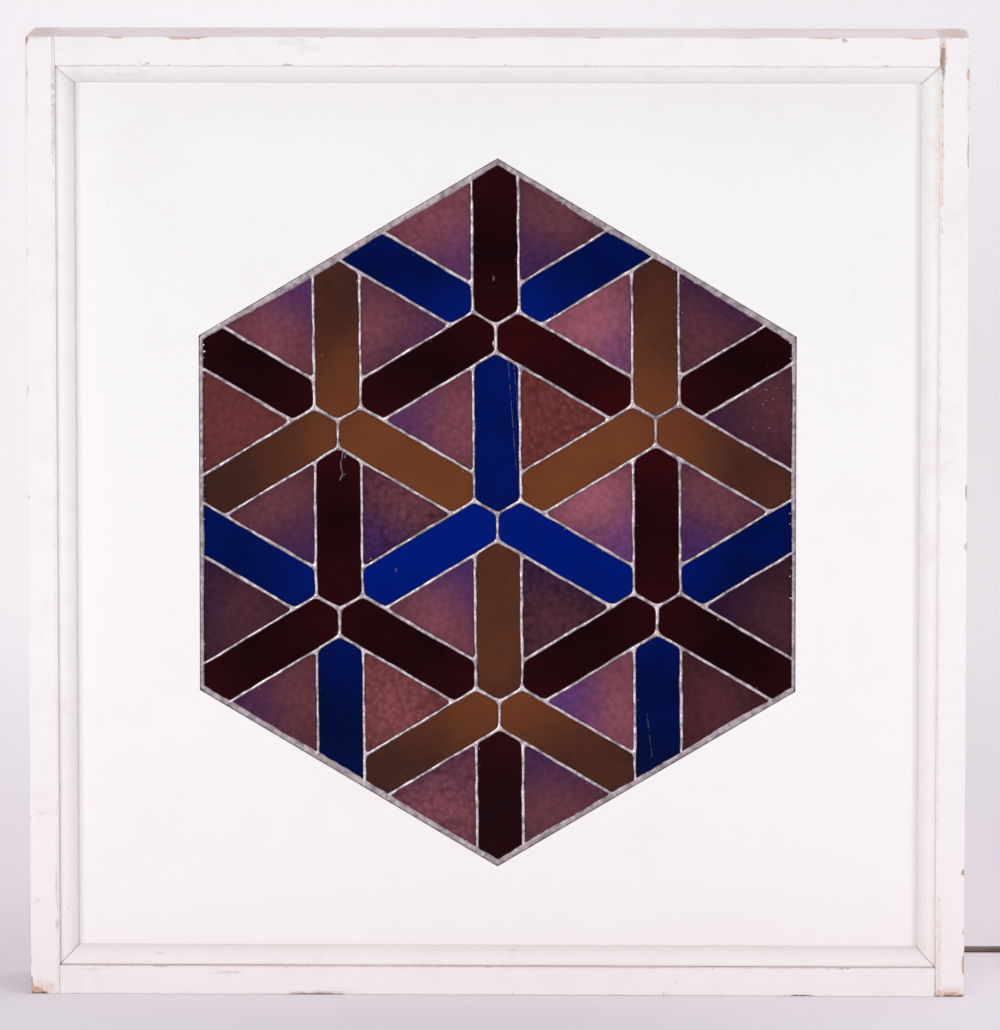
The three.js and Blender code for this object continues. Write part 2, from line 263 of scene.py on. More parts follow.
def addArea(name, values):
    light = bpy.data.lights.new(name, "AREA")
    light.shape, light.size = "SQUARE", values["size"]
    light.energy, light.color = values["power"], values["color"]
    made = bpy.data.objects.new(name, light)
    bpy.context.scene.collection.objects.link(made)
    made.location = values["at"]
    made.visible_camera = False
    made.rotation_mode = "QUATERNION"
    aim = Vector(values.get("aim", (0, 0, 0.3)))
    made.rotation_quaternion = (aim - Vector(values["at"])).to_track_quat("-Z", "Y")


# Paper that pales from the floor to the wall, the darker floor being painted shade, and that the camera sees
# through from behind.
def makePaper():
    material, tree, shader, where = newMaterial("studioPaper")
    ramp = addNode(tree, "ShaderNodeValToRGB", {0: heightOf(tree, where)})
    ramp.color_ramp.interpolation = "EASE"
    ramp.color_ramp.elements[0].color = (*studio["floor"], 1)
    ramp.color_ramp.elements[1].color = (*studio["wall"], 1)
    ramp.color_ramp.elements[1].position = 0.16
    tree.links.new(ramp.outputs["Color"], shader.inputs["Base Color"])
    shader.inputs["Roughness"].default_value = 0.9
    behind = addNode(tree, "ShaderNodeNewGeometry").outputs["Backfacing"]
    seen = times(tree, behind, addNode(tree, "ShaderNodeLightPath").outputs["Is Camera Ray"])
    clear = addNode(tree, "ShaderNodeBsdfTransparent").outputs[0]
    pick = addNode(tree, "ShaderNodeMixShader", {0: seen, 1: shader.outputs[0], 2: clear})
    tree.links.new(pick.outputs[0], tree.nodes["Material Output"].inputs["Surface"])
    return material


# The floor runs back and turns up into a wall along a quarter circle. The wall is clear from behind,
# where a second sheet carries the floor on.
def addFloor():
    reach, wall, turn = studio["floorReach"], studio["wallAt"], studio["turn"]
    angles = np.linspace(0, math.pi / 2, 24)
    y = np.concatenate([[-reach, 0, wall / 2], wall + turn * np.sin(angles), [wall + turn]])
    z = np.concatenate([[0, 0, 0], turn * (1 - np.cos(angles)), [studio["wallHeight"]]])
    x = np.array([-studio["halfWidth"], studio["halfWidth"]])
    points = np.stack([np.tile(x, len(y)), np.repeat(y, 2), np.repeat(z, 2)], -1) / mm
    i = np.arange(len(y) - 1) * 2
    faces = np.stack([i, i + 1, i + 3, i + 2], -1).tolist()
    paper = makePaper()
    addMesh("studio_floor", points, faces, paper)
    wide, near, far = studio["halfWidth"] / mm, wall / mm, studio["floorBack"] / mm
    corners = [(-wide, near, -0.5), (wide, near, -0.5), (wide, far, -0.5), (-wide, far, -0.5)]
    addMesh("studio_floor_behind", corners, [[0, 1, 2, 3]], paper)


def addSky():
    world = bpy.data.worlds.new("studio")
    bpy.context.scene.world = world
    world.use_nodes = True
    tree = world.node_tree
    background = tree.nodes["Background"]
    around = addNode(tree, "ShaderNodeTexCoord").outputs["Generated"]
    ramp = addNode(tree, "ShaderNodeValToRGB", {0: heightOf(tree, around)})
    tree.links.new(ramp.outputs["Color"], background.inputs["Color"])
    ramp.color_ramp.elements[0].position = 0.02
    ramp.color_ramp.elements[0].color = (*studio["ground"], 1)
    ramp.color_ramp.elements[1].position = 0.12
    ramp.color_ramp.elements[1].color = (*studio["sky"], 1)
    background.inputs["Strength"].default_value = studio["skyStrength"]


addCamera()
addFloor()
addSky()
for label in ("key", "fill", "wallWash"):
    addArea(label + "_light", studio[label])
bpy.context.scene.view_settings.view_transform = "Standard"
print("camera, floor and lights are up")


# Starts a node group: each input's kind follows from its value, a number, three for a vector or four for
# a colour. A group always takes the place it is read at first.
def newGroup(name, inputs):
    tree = bpy.data.node_groups.new(name, "ShaderNodeTree")
    kinds = {1: "NodeSocketFloat", 3: "NodeSocketVector", 4: "NodeSocketColor"}
    for label, value in {"Vector": (0, 0, 0), **inputs}.items():
        socket = tree.interface.new_socket(label, in_out="INPUT", socket_type=kinds[np.size(value)])
        socket.default_value = value
    return tree, tree.nodes.new("NodeGroupInput").outputs


# Ends a node group with an output for each value.
def giveOut(tree, values):
    out = tree.nodes.new("NodeGroupOutput").inputs
    for label, value in values.items():
        kind = "NodeSocketColor" if label == "Color" else "NodeSocketFloat"
        tree.interface.new_socket(label, in_out="OUTPUT", socket_type=kind)
        tree.links.new(value, out[label])
    return tree


# Soft cloudy unevenness with a finer tooth over it.
def makeUnevenGroup():
    tree, given = newGroup("uneven", {"Broad": 12.0, "Fine": 300.0})
    broad = noise(tree, given["Vector"], given["Broad"], 3.0, 0.55)
    fine = noise(tree, given["Vector"], given["Fine"], 2.0, 0.6)
    shade = plus(tree, times(tree, broad, 0.7), times(tree, fine, 0.3))
    return giveOut(tree, {"Shade": shade, "Height": fine})


# Strokes or grain drawn out along the piece: noise on a space squeezed in that direction.
def makeStrokesGroup():
    tree, given = newGroup("strokes", {"Squeeze": (1, 1, 0.06), "Scale": 500.0})
    grain = noise(tree, squeezed(tree, given), given["Scale"], 4.0, 0.65, 0.4)
    return giveOut(tree, {"Shade": grain, "Height": grain})


# Bare softwood: pale and orange bands along the board, with dark pores.
def makeWoodGroup():
    tree, given = newGroup("softwood", {"Squeeze": (1, 1, 0.05), "Pale": (0.82, 0.62, 0.52, 1),
                                        "Deep": (0.55, 0.35, 0.27, 1)})
    share = easeBetween(tree, noise(tree, squeezed(tree, given), 190.0, 5.0, 0.7, 1.2), 0.36, 0.66)
    return giveOut(tree, {"Color": mixColors(tree, share, given["Pale"], given["Deep"]), "Height": share})


# Dirt and handling marks: a few uneven patches, as a mask.
def makeGrimeGroup():
    tree, given = newGroup("grime", {"Scale": 20.0, "Amount": 0.3})
    mask = easeBetween(tree, noise(tree, given["Vector"], given["Scale"], 6.0, 0.68, 0.3), 0.48, 0.72)
    return giveOut(tree, {"Mask": times(tree, mask, given["Amount"])})


# Wear that follows an edge value: it bites where noise and closeness to the edge add up.
def makeWearGroup():
    tree, given = newGroup("edgeWear", {"Edge": 0.0, "Scale": 160.0, "Bite": 0.5})
    ragged = noise(tree, given["Vector"], given["Scale"], 5.0, 0.7)
    reach = plus(tree, times(tree, given["Edge"], given["Bite"]), ragged)
    return giveOut(tree, {"Mask": easeBetween(tree, reach, 0.92, 1.04)})


# Seeds and fine dust: small bright specks, some drawn out, as a mask.
def makeSpeckGroup():
    tree, given = newGroup("specks", {"Squeeze": (1, 1, 0.45), "Scale": 90.0, "Size": 0.08})
    cells = addNode(tree, "ShaderNodeTexVoronoi", {"Vector": squeezed(tree, given), "Scale": given["Scale"]})
    near = maths(tree, "LESS_THAN", cells.outputs["Distance"], given["Size"])
    red = addNode(tree, "ShaderNodeSeparateColor", {0: cells.outputs["Color"]}).outputs[0]
    return giveOut(tree, {"Mask": times(tree, near, maths(tree, "GREATER_THAN", red, 0.8))})


def vectorMaths(tree, operation, first, second):
    return addNode(tree, "ShaderNodeVectorMath", {0: first, 1: second}, operation=operation).outputs


# One fine scratch from a start along a way, broken up along its length, as a mask.
def makeScratchGroup():
    tree, given = newGroup("scratch", {"Start": (0, 0, 0), "Way": (0, 0, -1), "Length": 0.05,
                                       "Width": 0.0002})
    off = vectorMaths(tree, "SUBTRACT", given["Vector"], given["Start"])[0]
    along = vectorMaths(tree, "DOT_PRODUCT", off, given["Way"])["Value"]
    foot = addNode(tree, "ShaderNodeVectorMath", {0: given["Way"], "Scale": along}, operation="SCALE")
    rest = vectorMaths(tree, "SUBTRACT", off, foot.outputs[0])[0]
    gap = addNode(tree, "ShaderNodeVectorMath", {0: rest}, operation="LENGTH").outputs["Value"]
    breaks = easeBetween(tree, noise(tree, given["Vector"], 420.0, 2.0), 0.38, 0.56)
    mask = maths(tree, "LESS_THAN", gap, given["Width"])
    mask = times(tree, mask, maths(tree, "GREATER_THAN", along, 0.0))
    mask = times(tree, mask, maths(tree, "LESS_THAN", along, given["Length"]))
    return giveOut(tree, {"Mask": times(tree, mask, breaks)})


groups = {
    "scratch": makeScratchGroup(),
    "uneven": makeUnevenGroup(),
    "strokes": makeStrokesGroup(),
    "softwood": makeWoodGroup(),
    "grime": makeGrimeGroup(),
    "edgeWear": makeWearGroup(),
    "specks": makeSpeckGroup(),
}


# Places one of the groups in a material and gives its outputs.
def useGroup(tree, name, where, inputs):
    return addNode(tree, "ShaderNodeGroup", {"Vector": where, **inputs}, node_tree=groups[name]).outputs


def attributeValue(tree, name):
    return addNode(tree, "ShaderNodeAttribute", attribute_name=name).outputs["Fac"]


# Lays on a colour, and a roughness that rises with the shade.
def setSurface(tree, shader, color, roughness, shade, spread):
    tree.links.new(color, shader.inputs["Base Color"])
    rough = plus(tree, roughness, times(tree, shade, spread))
    tree.links.new(rough, shader.inputs["Roughness"])


def bumpInto(tree, shader, height, strength, distance):
    bump = addNode(tree, "ShaderNodeBump", {"Height": height, "Strength": strength, "Distance": distance})
    tree.links.new(bump.outputs[0], shader.inputs["Normal"])


# Colours of the paint, new and aged, of what has got onto it, and of shade painted into it.
paint = {
    "board": {"color": (0.955, 0.945, 0.945), "aged": (0.80, 0.72, 0.70), "roughness": 0.5,
              "upDustAndShade": 0.85},
    "moulding": {"color": (0.972, 0.957, 0.952), "aged": (0.76, 0.69, 0.68), "roughness": 0.42,
                 "upDustAndShade": 0.30},
    "panel": {"color": (0.955, 0.95, 0.95), "aged": (0.82, 0.79, 0.79), "roughness": 0.45,
              "shadeBesideFrom": (0.2715, 0.2745)},
    "rubbed": (0.56, 0.38, 0.33),
    "stain": (0.70, 0.42, 0.28),
    # Dust on upward faces, with painted shade: those faces are darkened as though they got less light.
    "dustAndShade": (0.64, 0.53, 0.56),
    "lowShadeTint": (0.76, 0.69, 0.68),   # painted shade: the colour the paint is darkened to towards the ground, and on the panel beside the mouldings
    "lowShadeFrom": (-0.02, 0.34),        # and between which heights, in metres
    "hairline": (0.50, 0.44, 0.43),
    "markAndShadow": (0.13, 0.095, 0.09),
    "speck": (0.45, 0.42, 0.42),
}


# Brushed white paint over softwood. Values laid on the mesh say where it is: bare wood, stained warm, marked
# dark (one mark is a painted shadow), near an edge, and under dust with painted shade. The paint is also
# darkened towards the ground as painted shade.
def makePaint(name, values, squeeze):
    material, tree, shader, where = newMaterial(name)
    bare, stain, markAndShadow, edge, dustAndShade = (attributeValue(tree, label) for label in
                                     ("bare", "stain", "markAndShadow", "edge", "dustAndShade"))
    strokes = useGroup(tree, "strokes", where, {"Squeeze": squeeze, "Scale": 420.0})
    hairs = useGroup(tree, "strokes", where, {"Squeeze": squeeze, "Scale": 900.0})
    uneven = useGroup(tree, "uneven", where, {"Broad": 14.0, "Fine": 260.0})
    grime = useGroup(tree, "grime", where, {"Scale": 34.0, "Amount": 0.26})
    wood = useGroup(tree, "softwood", where, {"Squeeze": squeeze})
    rubbed = useGroup(tree, "edgeWear", where, {"Edge": edge, "Scale": 190.0, "Bite": 0.34})
    soiled = useGroup(tree, "grime", where, {"Scale": 420.0, "Amount": 1.0})
    color = layOver(tree, values["color"], uneven["Shade"], 0.10, values["aged"])
    color = mixColors(tree, grime["Mask"], color, values["aged"])
    lines = easeDown(tree, hairs["Shade"], 0.27, 0.36)
    color = layOver(tree, color, lines, 0.35, paint["hairline"])
    # Dust and painted shade: faces that look up are darkened towards the dust colour.
    facing = heightOf(tree, addNode(tree, "ShaderNodeNewGeometry").outputs["Normal"])
    # Painted shade: the paint darkens towards the ground, where less light falls.
    low = easeDown(tree, heightOf(tree, where), *paint["lowShadeFrom"])
    color = layOver(tree, color, low, 0.48, paint["lowShadeTint"])
    lying = times(tree, easeBetween(tree, facing, 0.15, 1.0), values["upDustAndShade"])
    settledAndShaded = times(tree, lying, plus(tree, 0.35, uneven["Shade"]), clamp=True)
    upDustAndShade = maths(tree, "MAXIMUM", settledAndShaded, times(tree, dustAndShade, 0.5))
    color = mixColors(tree, upDustAndShade, color, paint["dustAndShade"])
    warm = times(tree, stain, plus(tree, 0.35, soiled["Mask"]), clamp=True)
    color = mixColors(tree, warm, color, paint["stain"])
    color = layOver(tree, color, rubbed["Mask"], 0.5, paint["rubbed"])
    color = layOver(tree, color, easeBetween(tree, bare, 0.08, 0.3), 0.6, paint["rubbed"])
    color = mixColors(tree, easeBetween(tree, bare, 0.34, 0.6), color, wood["Color"])
    scuffs = useGroup(tree, "grime", where, {"Scale": 760.0, "Amount": 1.0})
    # Dark marks, among them a painted shadow line along the bottom arris.
    broken = times(tree, markAndShadow, plus(tree, 0.35, scuffs["Mask"]), clamp=True)
    color = mixColors(tree, broken, color, paint["markAndShadow"])
    tree.links.new(color, shader.inputs["Base Color"])
    rough = plus(tree, values["roughness"], times(tree, uneven["Shade"], 0.16))
    tree.links.new(plus(tree, rough, times(tree, bare, 0.3), clamp=True), shader.inputs["Roughness"])
    height = plus(tree, strokes["Height"], times(tree, uneven["Height"], 0.5))
    bumpInto(tree, shader, height, 0.16, 0.0004)
    return material


boardPaintUp = makePaint("boardPaintUp", paint["board"], (1, 1, 0.06))
boardPaintAcross = makePaint("boardPaintAcross", paint["board"], (0.06, 1, 1))
mouldingPaintUp = makePaint("mouldingPaintUp", paint["moulding"], (1, 1, 0.06))
mouldingPaintAcross = makePaint("mouldingPaintAcross", paint["moulding"], (0.06, 1, 1))

# Places where the paint is knocked off, under the Y they lie at, -44.5 for the front faces: X and Z of the
# middle, half sizes (x, y, z), how deep.
knocks = {
    -44.5: [
        (307.5, 608, 1.4, 2.4, 4, 0.6), (307.5, 558, 1.2, 3, 9, 0.6), (307.5, 335, 1.2, 3, 6, 0.7),
        (307.5, 299, 0.9, 2.4, 3, 0.5), (307.5, 82.5, 2.4, 3.6, 2.6, 1.2), (307.5, 22, 1.6, 4, 7, 0.9),
        (300.5, 0.5, 8, 4, 1.8, 0.8), (290.5, 1.5, 2.2, 4, 3, 0.9), (-303, 0.5, 6.5, 5, 3, 1.1),
        (-307.5, 5, 1.6, 3.4, 6, 0.9), (-307.5, 630, 2, 3.4, 2.4, 0.9), (289.2, 619, 0.8, 2.6, 9, 0.15),
        (-205, 632, 13, 1.9, 1.7, 0.5), (-249, 632, 5, 1.5, 0.9, 0.4), (-16, 632, 4, 1.5, 1, 0.5),
        (63, 632, 6, 1.5, 0.9, 0.4), (212, 632, 9, 1.8, 0.9, 0.4), (274, 632, 8, 2.6, 1, 0.4),
        (-307.5, 490, 0.9, 1.8, 3, 0.4), (-307.5, 400, 0.9, 2, 4, 0.4), (-118, 0, 16, 3, 1.2, 0.6),
        (200, 0, 9, 3, 1, 0.5),
    ],
}

# Warm staining where bare wood shows through thin paint, listed likewise: middle, half sizes, how strong.
stains = {
    0.0: [
        (298, 632, 11, 50, 1.6, 1.0), (-298, 632, 11, 50, 1.6, 0.45),
    ],
    -44.5: [
        (290.4, 622, 2.2, 6, 14, 0.95), (289.8, 560, 1, 4, 66, 0.9), (299, 3, 10, 6, 3.5, 0.9),
        (290.8, 34, 1.8, 4, 40, 0.55), (307, 600, 1.2, 5, 34, 0.5), (-299, 4, 10, 5, 6, 0.8),
        (-306.8, 600, 1, 4, 34, 0.6), (-289.8, 590, 0.9, 4, 50, 0.8), (-289.6, 330, 0.7, 4, 260, 0.35),
        (-289.6, 70, 0.9, 4, 70, 0.55), (0, 18.6, 288, 4, 0.8, 0.55), (0, 613.4, 288, 4, 0.6, 0.35),
        (289.4, 300, 0.7, 4, 290, 0.5),
    ],
    -39.0: [
        (286, 560, 2, 9, 60, 0.25),
    ],
    -29.0: [
        (276.7, 316, 0.9, 3, 275, 0.6), (-276.7, 316, 0.9, 3, 275, 0.5), (0, 31.2, 275, 3, 0.8, 0.35),
        (0, 600.8, 275, 3, 0.8, 0.35),
    ],
}

# Dark spots, cracks and scuffs, and a painted shadow along the bottom arris where the box meets the floor:
# middle, half sizes, how dark. Filled nail holes are the round ones.
marksAndShadow = {
    -44.5: [
        (-228, 614.5, 1.3, 4, 1, 0.7), (-233, 615.5, 0.9, 4, 0.8, 0.4), (225.5, 630.2, 1.5, 4, 1.2, 1.5),
        (-289.8, 46.6, 0.9, 3, 4, 0.45), (301, 44.6, 1.8, 4, 0.4, 0.6), (-246, 613.6, 9, 3, 0.35, 0.5),
        (-268, 613.5, 9, 3, 0.3, 0.4), (-288.6, 601, 0.35, 3, 12, 0.5), (-288.7, 575, 0.4, 3, 16, 0.6),
        (290.2, 617, 1.3, 3, 11, 1.3), (289.6, 592, 0.5, 3, 14, 0.4), (288.7, 20, 0.5, 3, 26, 0.6),
        (-98, 6, 0.8, 3, 0.6, 0.3), (118, 9.5, 0.7, 3, 0.5, 0.3), (303, 455, 0.6, 3, 0.7, 0.35),
        (-306.3, 607, 0.5, 3, 2.4, 0.6), (-306, 546, 0.9, 3, 0.7, 0.35), (-299, 205, 0.6, 3, 0.7, 0.3),
        (-300, 88, 3.4, 3, 0.5, 0.3), (-222, 18.6, 4.2, 3, 0.6, 0.6), (226, 18.4, 1.4, 3, 0.8, 0.85),
        (231, 18.6, 1, 3, 0.7, 0.8), (-268, 16.6, 11, 3, 0.9, 0.28), (-178, 14, 14, 3, 0.5, 0.28),
        (-132, 629, 14, 3, 2.6, 0.16), (-124, 624, 8, 3, 2.6, 0.14), (160, 631.8, 14, 3, 0.7, 0.45),
        # Painted shadow: the long mark along the bottom arris, where the box stands on the floor.
        (-40, 0, 262, 4, 0.8, 0.5), (-290.2, 47, 1, 3, 5, 0.5), (-290.4, 70, 0.7, 3, 9, 0.4),
        (-300, 120, 3, 3, 1, 0.3), (-303, 62, 2.6, 3, 1.6, 0.25), (-112, 1.6, 20, 3, 1.2, 0.5),
        (-176, 15, 9, 3, 0.8, 0.4),
    ],
    -36.0: [
        (-283, 56, 0.9, 7, 1.6, 0.35), (-283.6, 584, 0.3, 7, 9, 0.22), (-280.5, 577, 0.3, 7, 6, 0.14),
        (281.8, 64, 0.7, 7, 0.6, 0.6), (283.2, 61, 0.8, 7, 0.5, 0.65), (282.2, 58.5, 0.5, 7, 0.9, 0.6),
        (283.2, 55.5, 0.4, 7, 1, 0.5), (284, 146, 0.8, 7, 0.9, 0.3), (284, 306, 0.7, 7, 0.8, 0.3),
        (10, 29, 2.4, 7, 0.6, 0.4), (-223, 26.5, 3.8, 7, 0.5, 0.45), (-221, 24.6, 2.4, 7, 0.4, 0.35),
        (-256, 608, 5, 7, 0.6, 0.16), (-242, 606.5, 6, 7, 1.1, 0.20),
    ],
    0.0: [
        (298, 632, 11, 50, 1.6, 0.42), (-298, 632, 11, 50, 1.6, 0.34),
    ],
}


wear = {
    "rubReach": 1.6,              # how far from an arris it is rubbed
    "ragged": (0.35, 2.2),        # how ragged the patches are: amount and cell, fine and broad
    "raggedBroad": (0.2, 6.0),
    "nickCell": 4.0,
    "nickFrom": (0.74, 0.92),     # what noise and edge have to add up to
    "nickDepth": 0.3,
}


# Noise of an amount, on cells of a size.
def drift(points, size, seed):
    amount, cell = size
    return amount * smoothNoise(points, cell, seed)


# How far each point lies inside each patch, an ellipsoid with a ragged rim: 1 in its middle, 0 outside.
# Gives the greatest of them, plain and times the strength of the patch.
def patchMasks(points, table, ragged):
    plain = strong = np.zeros(len(points))
    for depth, rows in table.items():
        for x, z, *half, strength in rows:
            near = np.linalg.norm((points - (x, depth, z)) / np.array(half), axis=1)
            mask = 1 - smoothStep(0.7, 1.1, near + ragged)
            plain, strong = np.maximum(plain, mask), np.maximum(strong, mask * strength)
    return plain, strong


# Knocked, marked and rubbed values for points on a painted bar, and how deep each knock goes. Rubbing
# fades with the distance from the nearest arris.
def wearOf(points, low, high, seed):
    inside = np.sort(np.minimum(points - low, high - points), axis=1)
    edge = np.exp(-np.hypot(inside[:, 0], inside[:, 1]) / wear["rubReach"])
    ragged = drift(points, wear["ragged"], seed) + drift(points, wear["raggedBroad"], seed + 1)
    bare, deep = patchMasks(points, knocks, ragged)
    nicks = smoothNoise(points, wear["nickCell"], seed + 2) * 0.8 + edge * 0.45
    nicks = wear["nickDepth"] * smoothStep(*wear["nickFrom"], nicks)
    bare, deep = np.maximum(bare, nicks), np.maximum(deep, nicks)
    values = {"bare": bare, "edge": edge}
    values["stain"] = patchMasks(points, stains, ragged)[1]
    values["markAndShadow"] = patchMasks(points, marksAndShadow, 0.9 * ragged)[1]
    return values, deep * (0.8 + ragged)


boards = {
    "round": 0.45,    # radius of the arrises
    "arc": 4,         # steps round an arris
    "faceStep": 0.8,  # across the narrow faces
    "sideStep": 5.0,  # across the wide faces
    "alongStep": 1.6,
    "narrow": 30.0,   # what counts as narrow
    "caps": (0.15, 0.4, 0.7, 0.9),   # rings on the ends, as shares of the outline
    "wander": 0.05,   # how far the faces wander from flat
    "wanderCell": 40.0,
    "paintFill": 0.14,  # paint in the joints, that all but closes them
}


# The outline of a rectangle with rounded corners: points and outward directions, anticlockwise. Each
# side is stepped closer towards its corners.
def roundedOutline(width, depth, radius, arc, widthSteps, depthSteps):
    points, outwards = [], []
    corners = np.array([(1, 1), (-1, 1), (-1, -1), (1, -1)]) * (width / 2 - radius, depth / 2 - radius)
    for quarter, corner in enumerate(corners):
        angles = quarter * math.pi / 2 + np.linspace(0, math.pi / 2, arc + 1)
        ways = np.stack([np.cos(angles), np.sin(angles)], -1)
        points.append(corner + radius * ways)
        outwards.append(ways)
        steps = widthSteps if quarter % 2 == 0 else depthSteps
        start, end = points[-1][-1], corners[(quarter + 1) % 4] + radius * ways[-1]
        eased = (1 - np.cos(np.linspace(0, math.pi, steps + 1))) / 2
        share = (0.5 * eased + 0.5 * np.linspace(0, 1, steps + 1))[1:-1]
        points.append(start + (end - start) * share[:, None])
        outwards.append(np.repeat(ways[-1][None], len(share), 0))
    return np.vstack(points), np.vstack(outwards)


# A bar with rounded arrises: the outline carried along, drawn in along a quarter circle at both ends and
# capped to a pole. Each point then moves along its outward direction, by the wander less the knock.
def addBoard(name, material, seed, lowFill, highFill):
    low, high = boxOf(name)
    low[0] -= lowFill * boards["paintFill"]
    high[0] += highFill * boards["paintFill"]
    size, middle = high - low, (low + high) / 2
    long = int(np.argmax(size))
    across = [axis for axis in (0, 1, 2) if axis != long]
    width, depth = size[across[0]], size[across[1]]
    radius = boards["round"]
    steps = np.where(size[across] < boards["narrow"], boards["faceStep"], boards["sideStep"])
    steps = (size[across] / steps).astype(int)
    outline, outward = roundedOutline(width, depth, radius, boards["arc"], *steps)
    half = size[long] / 2
    bend = np.linspace(0, math.pi / 2, boards["arc"] + 1)
    rise = radius * (1 - np.sin(bend[:0:-1]))
    draw = radius * (1 - np.cos(bend[:0:-1]))
    caps = np.array(boards["caps"])
    ends = np.ones(len(caps))
    body = np.linspace(-half + radius, half - radius, int(2 * half / boards["alongStep"]))
    along = np.concatenate([-half * ends, -half + rise, body,
                            half - radius + radius * np.sin(bend[1:]), half * ends])
    inset = np.concatenate([radius * ends, draw, 0 * body, draw[::-1], radius * ends])
    scale = np.concatenate([caps, np.ones(len(along) - 2 * len(caps)), caps[::-1]])
    flat = (outline[None] - outward[None] * inset[:, None, None]) * scale[:, None, None]
    rings = np.zeros((len(along), len(outline), 3))
    rings[..., across] = flat
    rings[..., long] = along[:, None]
    push = np.zeros_like(rings)
    lean = np.clip((np.abs(along) - half + radius) / radius, 0, 1)
    push[..., across] = outward * np.sqrt(1 - lean**2)[:, None, None]
    push[..., long] = (np.sign(along) * lean)[:, None]
    poles = np.zeros((2, 3))
    poles[:, long] = (-half, half)
    points, faces = skinOf(rings, poles[0], poles[1])
    points = points + middle
    pushes = np.vstack([push.reshape(-1, 3), np.sign(poles)])
    values, deep = wearOf(points, low, high, seed)
    # Dust and painted shade on the faces that look up.
    values["dustAndShade"] = smoothStep(0.6, 0.95, pushes[:, 2])
    wander = boards["wander"] * (smoothNoise(points, boards["wanderCell"], seed + 5) - 1)
    points = points + pushes * (wander - deep)[:, None]
    facing = 1 if long != 1 and np.linalg.det(np.eye(3)[:, [*across, long]]) > 0 else -1
    piece = addMesh(name + "_painted", points, faces, material, values, facing=facing)
    return standFor(piece, "board_paint", name)


addBoard("side_board_left", boardPaintUp, 11, 0, 1)
addBoard("side_board_right", boardPaintUp, 23, 1, 0)
addBoard("top_board", boardPaintAcross, 37, 1, 1)
addBoard("bottom_board", boardPaintAcross, 41, 1, 1)
print("boards are made")


mouldings = {
    "leg": 12.0,
    "lip": 0.5,      # rounding where the curve meets the flats
    "flats": (0.4, 0.8),  # points on the flats, as shares of the leg
    "lead": 0.03,    # the curve starts and ends at this angle from the flats
    "arc": 22,
    "alongStep": 1.5,
    "wander": 0.10,
    "wanderCell": 24.0,
    "endFade": 4.0,  # no wander or wear at the mitres, from here on
    "gap": 0.03,     # left open at a mitre
    "paintFill": 0.34,  # paint in the joints with board and panel
}


# The section of a quarter round, its square corner at 0, 0, given anticlockwise.
def quarterSection():
    leg, lead = mouldings["leg"], mouldings["lead"]
    angles = np.linspace(lead, math.pi / 2 - lead, mouldings["arc"])
    curve = leg * np.stack([np.cos(angles), np.sin(angles)], -1)
    run = [0, *(leg * share for share in mouldings["flats"]), leg - mouldings["lip"]]
    flats = np.column_stack([run, np.zeros(len(run))])
    backs = flats[:0:-1, ::-1]
    section = np.vstack([flats, curve, backs])
    middle = section - leg * 0.42
    return section, middle / np.linalg.norm(middle, axis=1)[:, None]


# The section carried along one side of the panel, cut at 45 degrees: each line of the section runs as far
# as the side's half length less its distance from the board.
def addMoulding(name, inward, material, seed):
    low, high = boxOf(name)
    long = int(np.argmax(high - low))
    inward = np.array(inward, float)
    side = int(np.argmax(np.abs(inward)))
    fill = mouldings["paintFill"]
    corner = (low + high) / 2
    corner[side] = (low[side] if inward[side] > 0 else high[side]) - fill * inward[side]
    corner[1] = high[1] + fill
    half = (high[long] - low[long]) / 2 + fill
    section, outward = quarterSection()
    share = np.linspace(-1, 1, int(2 * half / mouldings["alongStep"]))
    forwards = np.array([0, -1.0, 0])
    run = np.eye(3)[long]
    flat = section[:, :1] * inward + section[:, 1:] * forwards
    reach = half - mouldings["gap"] - section[:, 0]
    rings = corner + flat[None] + run * (share[:, None] * reach[None])[..., None]
    pushes = outward[:, :1] * inward + outward[:, 1:] * forwards
    pushes = np.repeat(pushes[None], len(share), 0)
    points, faces = skinOf(rings, rings[0].mean(0), rings[-1].mean(0))
    pushes = np.vstack([pushes.reshape(-1, 3), np.zeros((2, 3))])
    farOff = 40.0   # its own edges are not rubbed
    values, deep = wearOf(points, low - farOff, high + farOff, seed)
    values["dustAndShade"] = np.zeros(len(points))
    fromEnd = (1 - np.abs(np.append(np.repeat(share, len(section)), [1, 1]))) * half
    ends = np.minimum(1, fromEnd / mouldings["endFade"])
    wander = mouldings["wander"] * (smoothNoise(points, mouldings["wanderCell"], seed + 5) - 1) * ends
    points = points + pushes * (wander - deep * ends)[:, None]
    facing = 1 if np.linalg.det(np.stack([inward, forwards, run])) > 0 else -1
    piece = addMesh(name + "_painted", points, faces, material, values, facing=facing)
    return standFor(piece, "moulding_paint", name)


addMoulding("quarter_round_left", (1, 0, 0), mouldingPaintUp, 53)
addMoulding("quarter_round_right", (-1, 0, 0), mouldingPaintUp, 59)
addMoulding("quarter_round_top", (0, 0, -1), mouldingPaintAcross, 61)
addMoulding("quarter_round_bottom", (0, 0, 1), mouldingPaintAcross, 67)
print("mouldings are made")


# Fans of long panes stand on a lattice of nodes, laid out flat as seen from the front, middle at 0, 0.
glass = {
    "columnPitch": 104.4,
    "rowPitch": 124.6,
    "paneWidth": 30.5,
    "turn": 0.5,            # degrees that the fans sit askew
    "middle": (-25.3, 317.5),  # Y and Z of the middle of the glass
    "thick": 3.0,
    "seamInset": 0.8,       # from the middle of a seam to the edge of the glass
    "borderInset": -0.7,
    "beyond": 400.0,        # half of a square that holds all of it
}


# Turns points laid out flat, with z out of the glass, into upright ones.
def standUp(local):
    depth, height = glass["middle"]
    return np.stack([local[..., 0], depth - local[..., 2], height + local[..., 1]], -1)


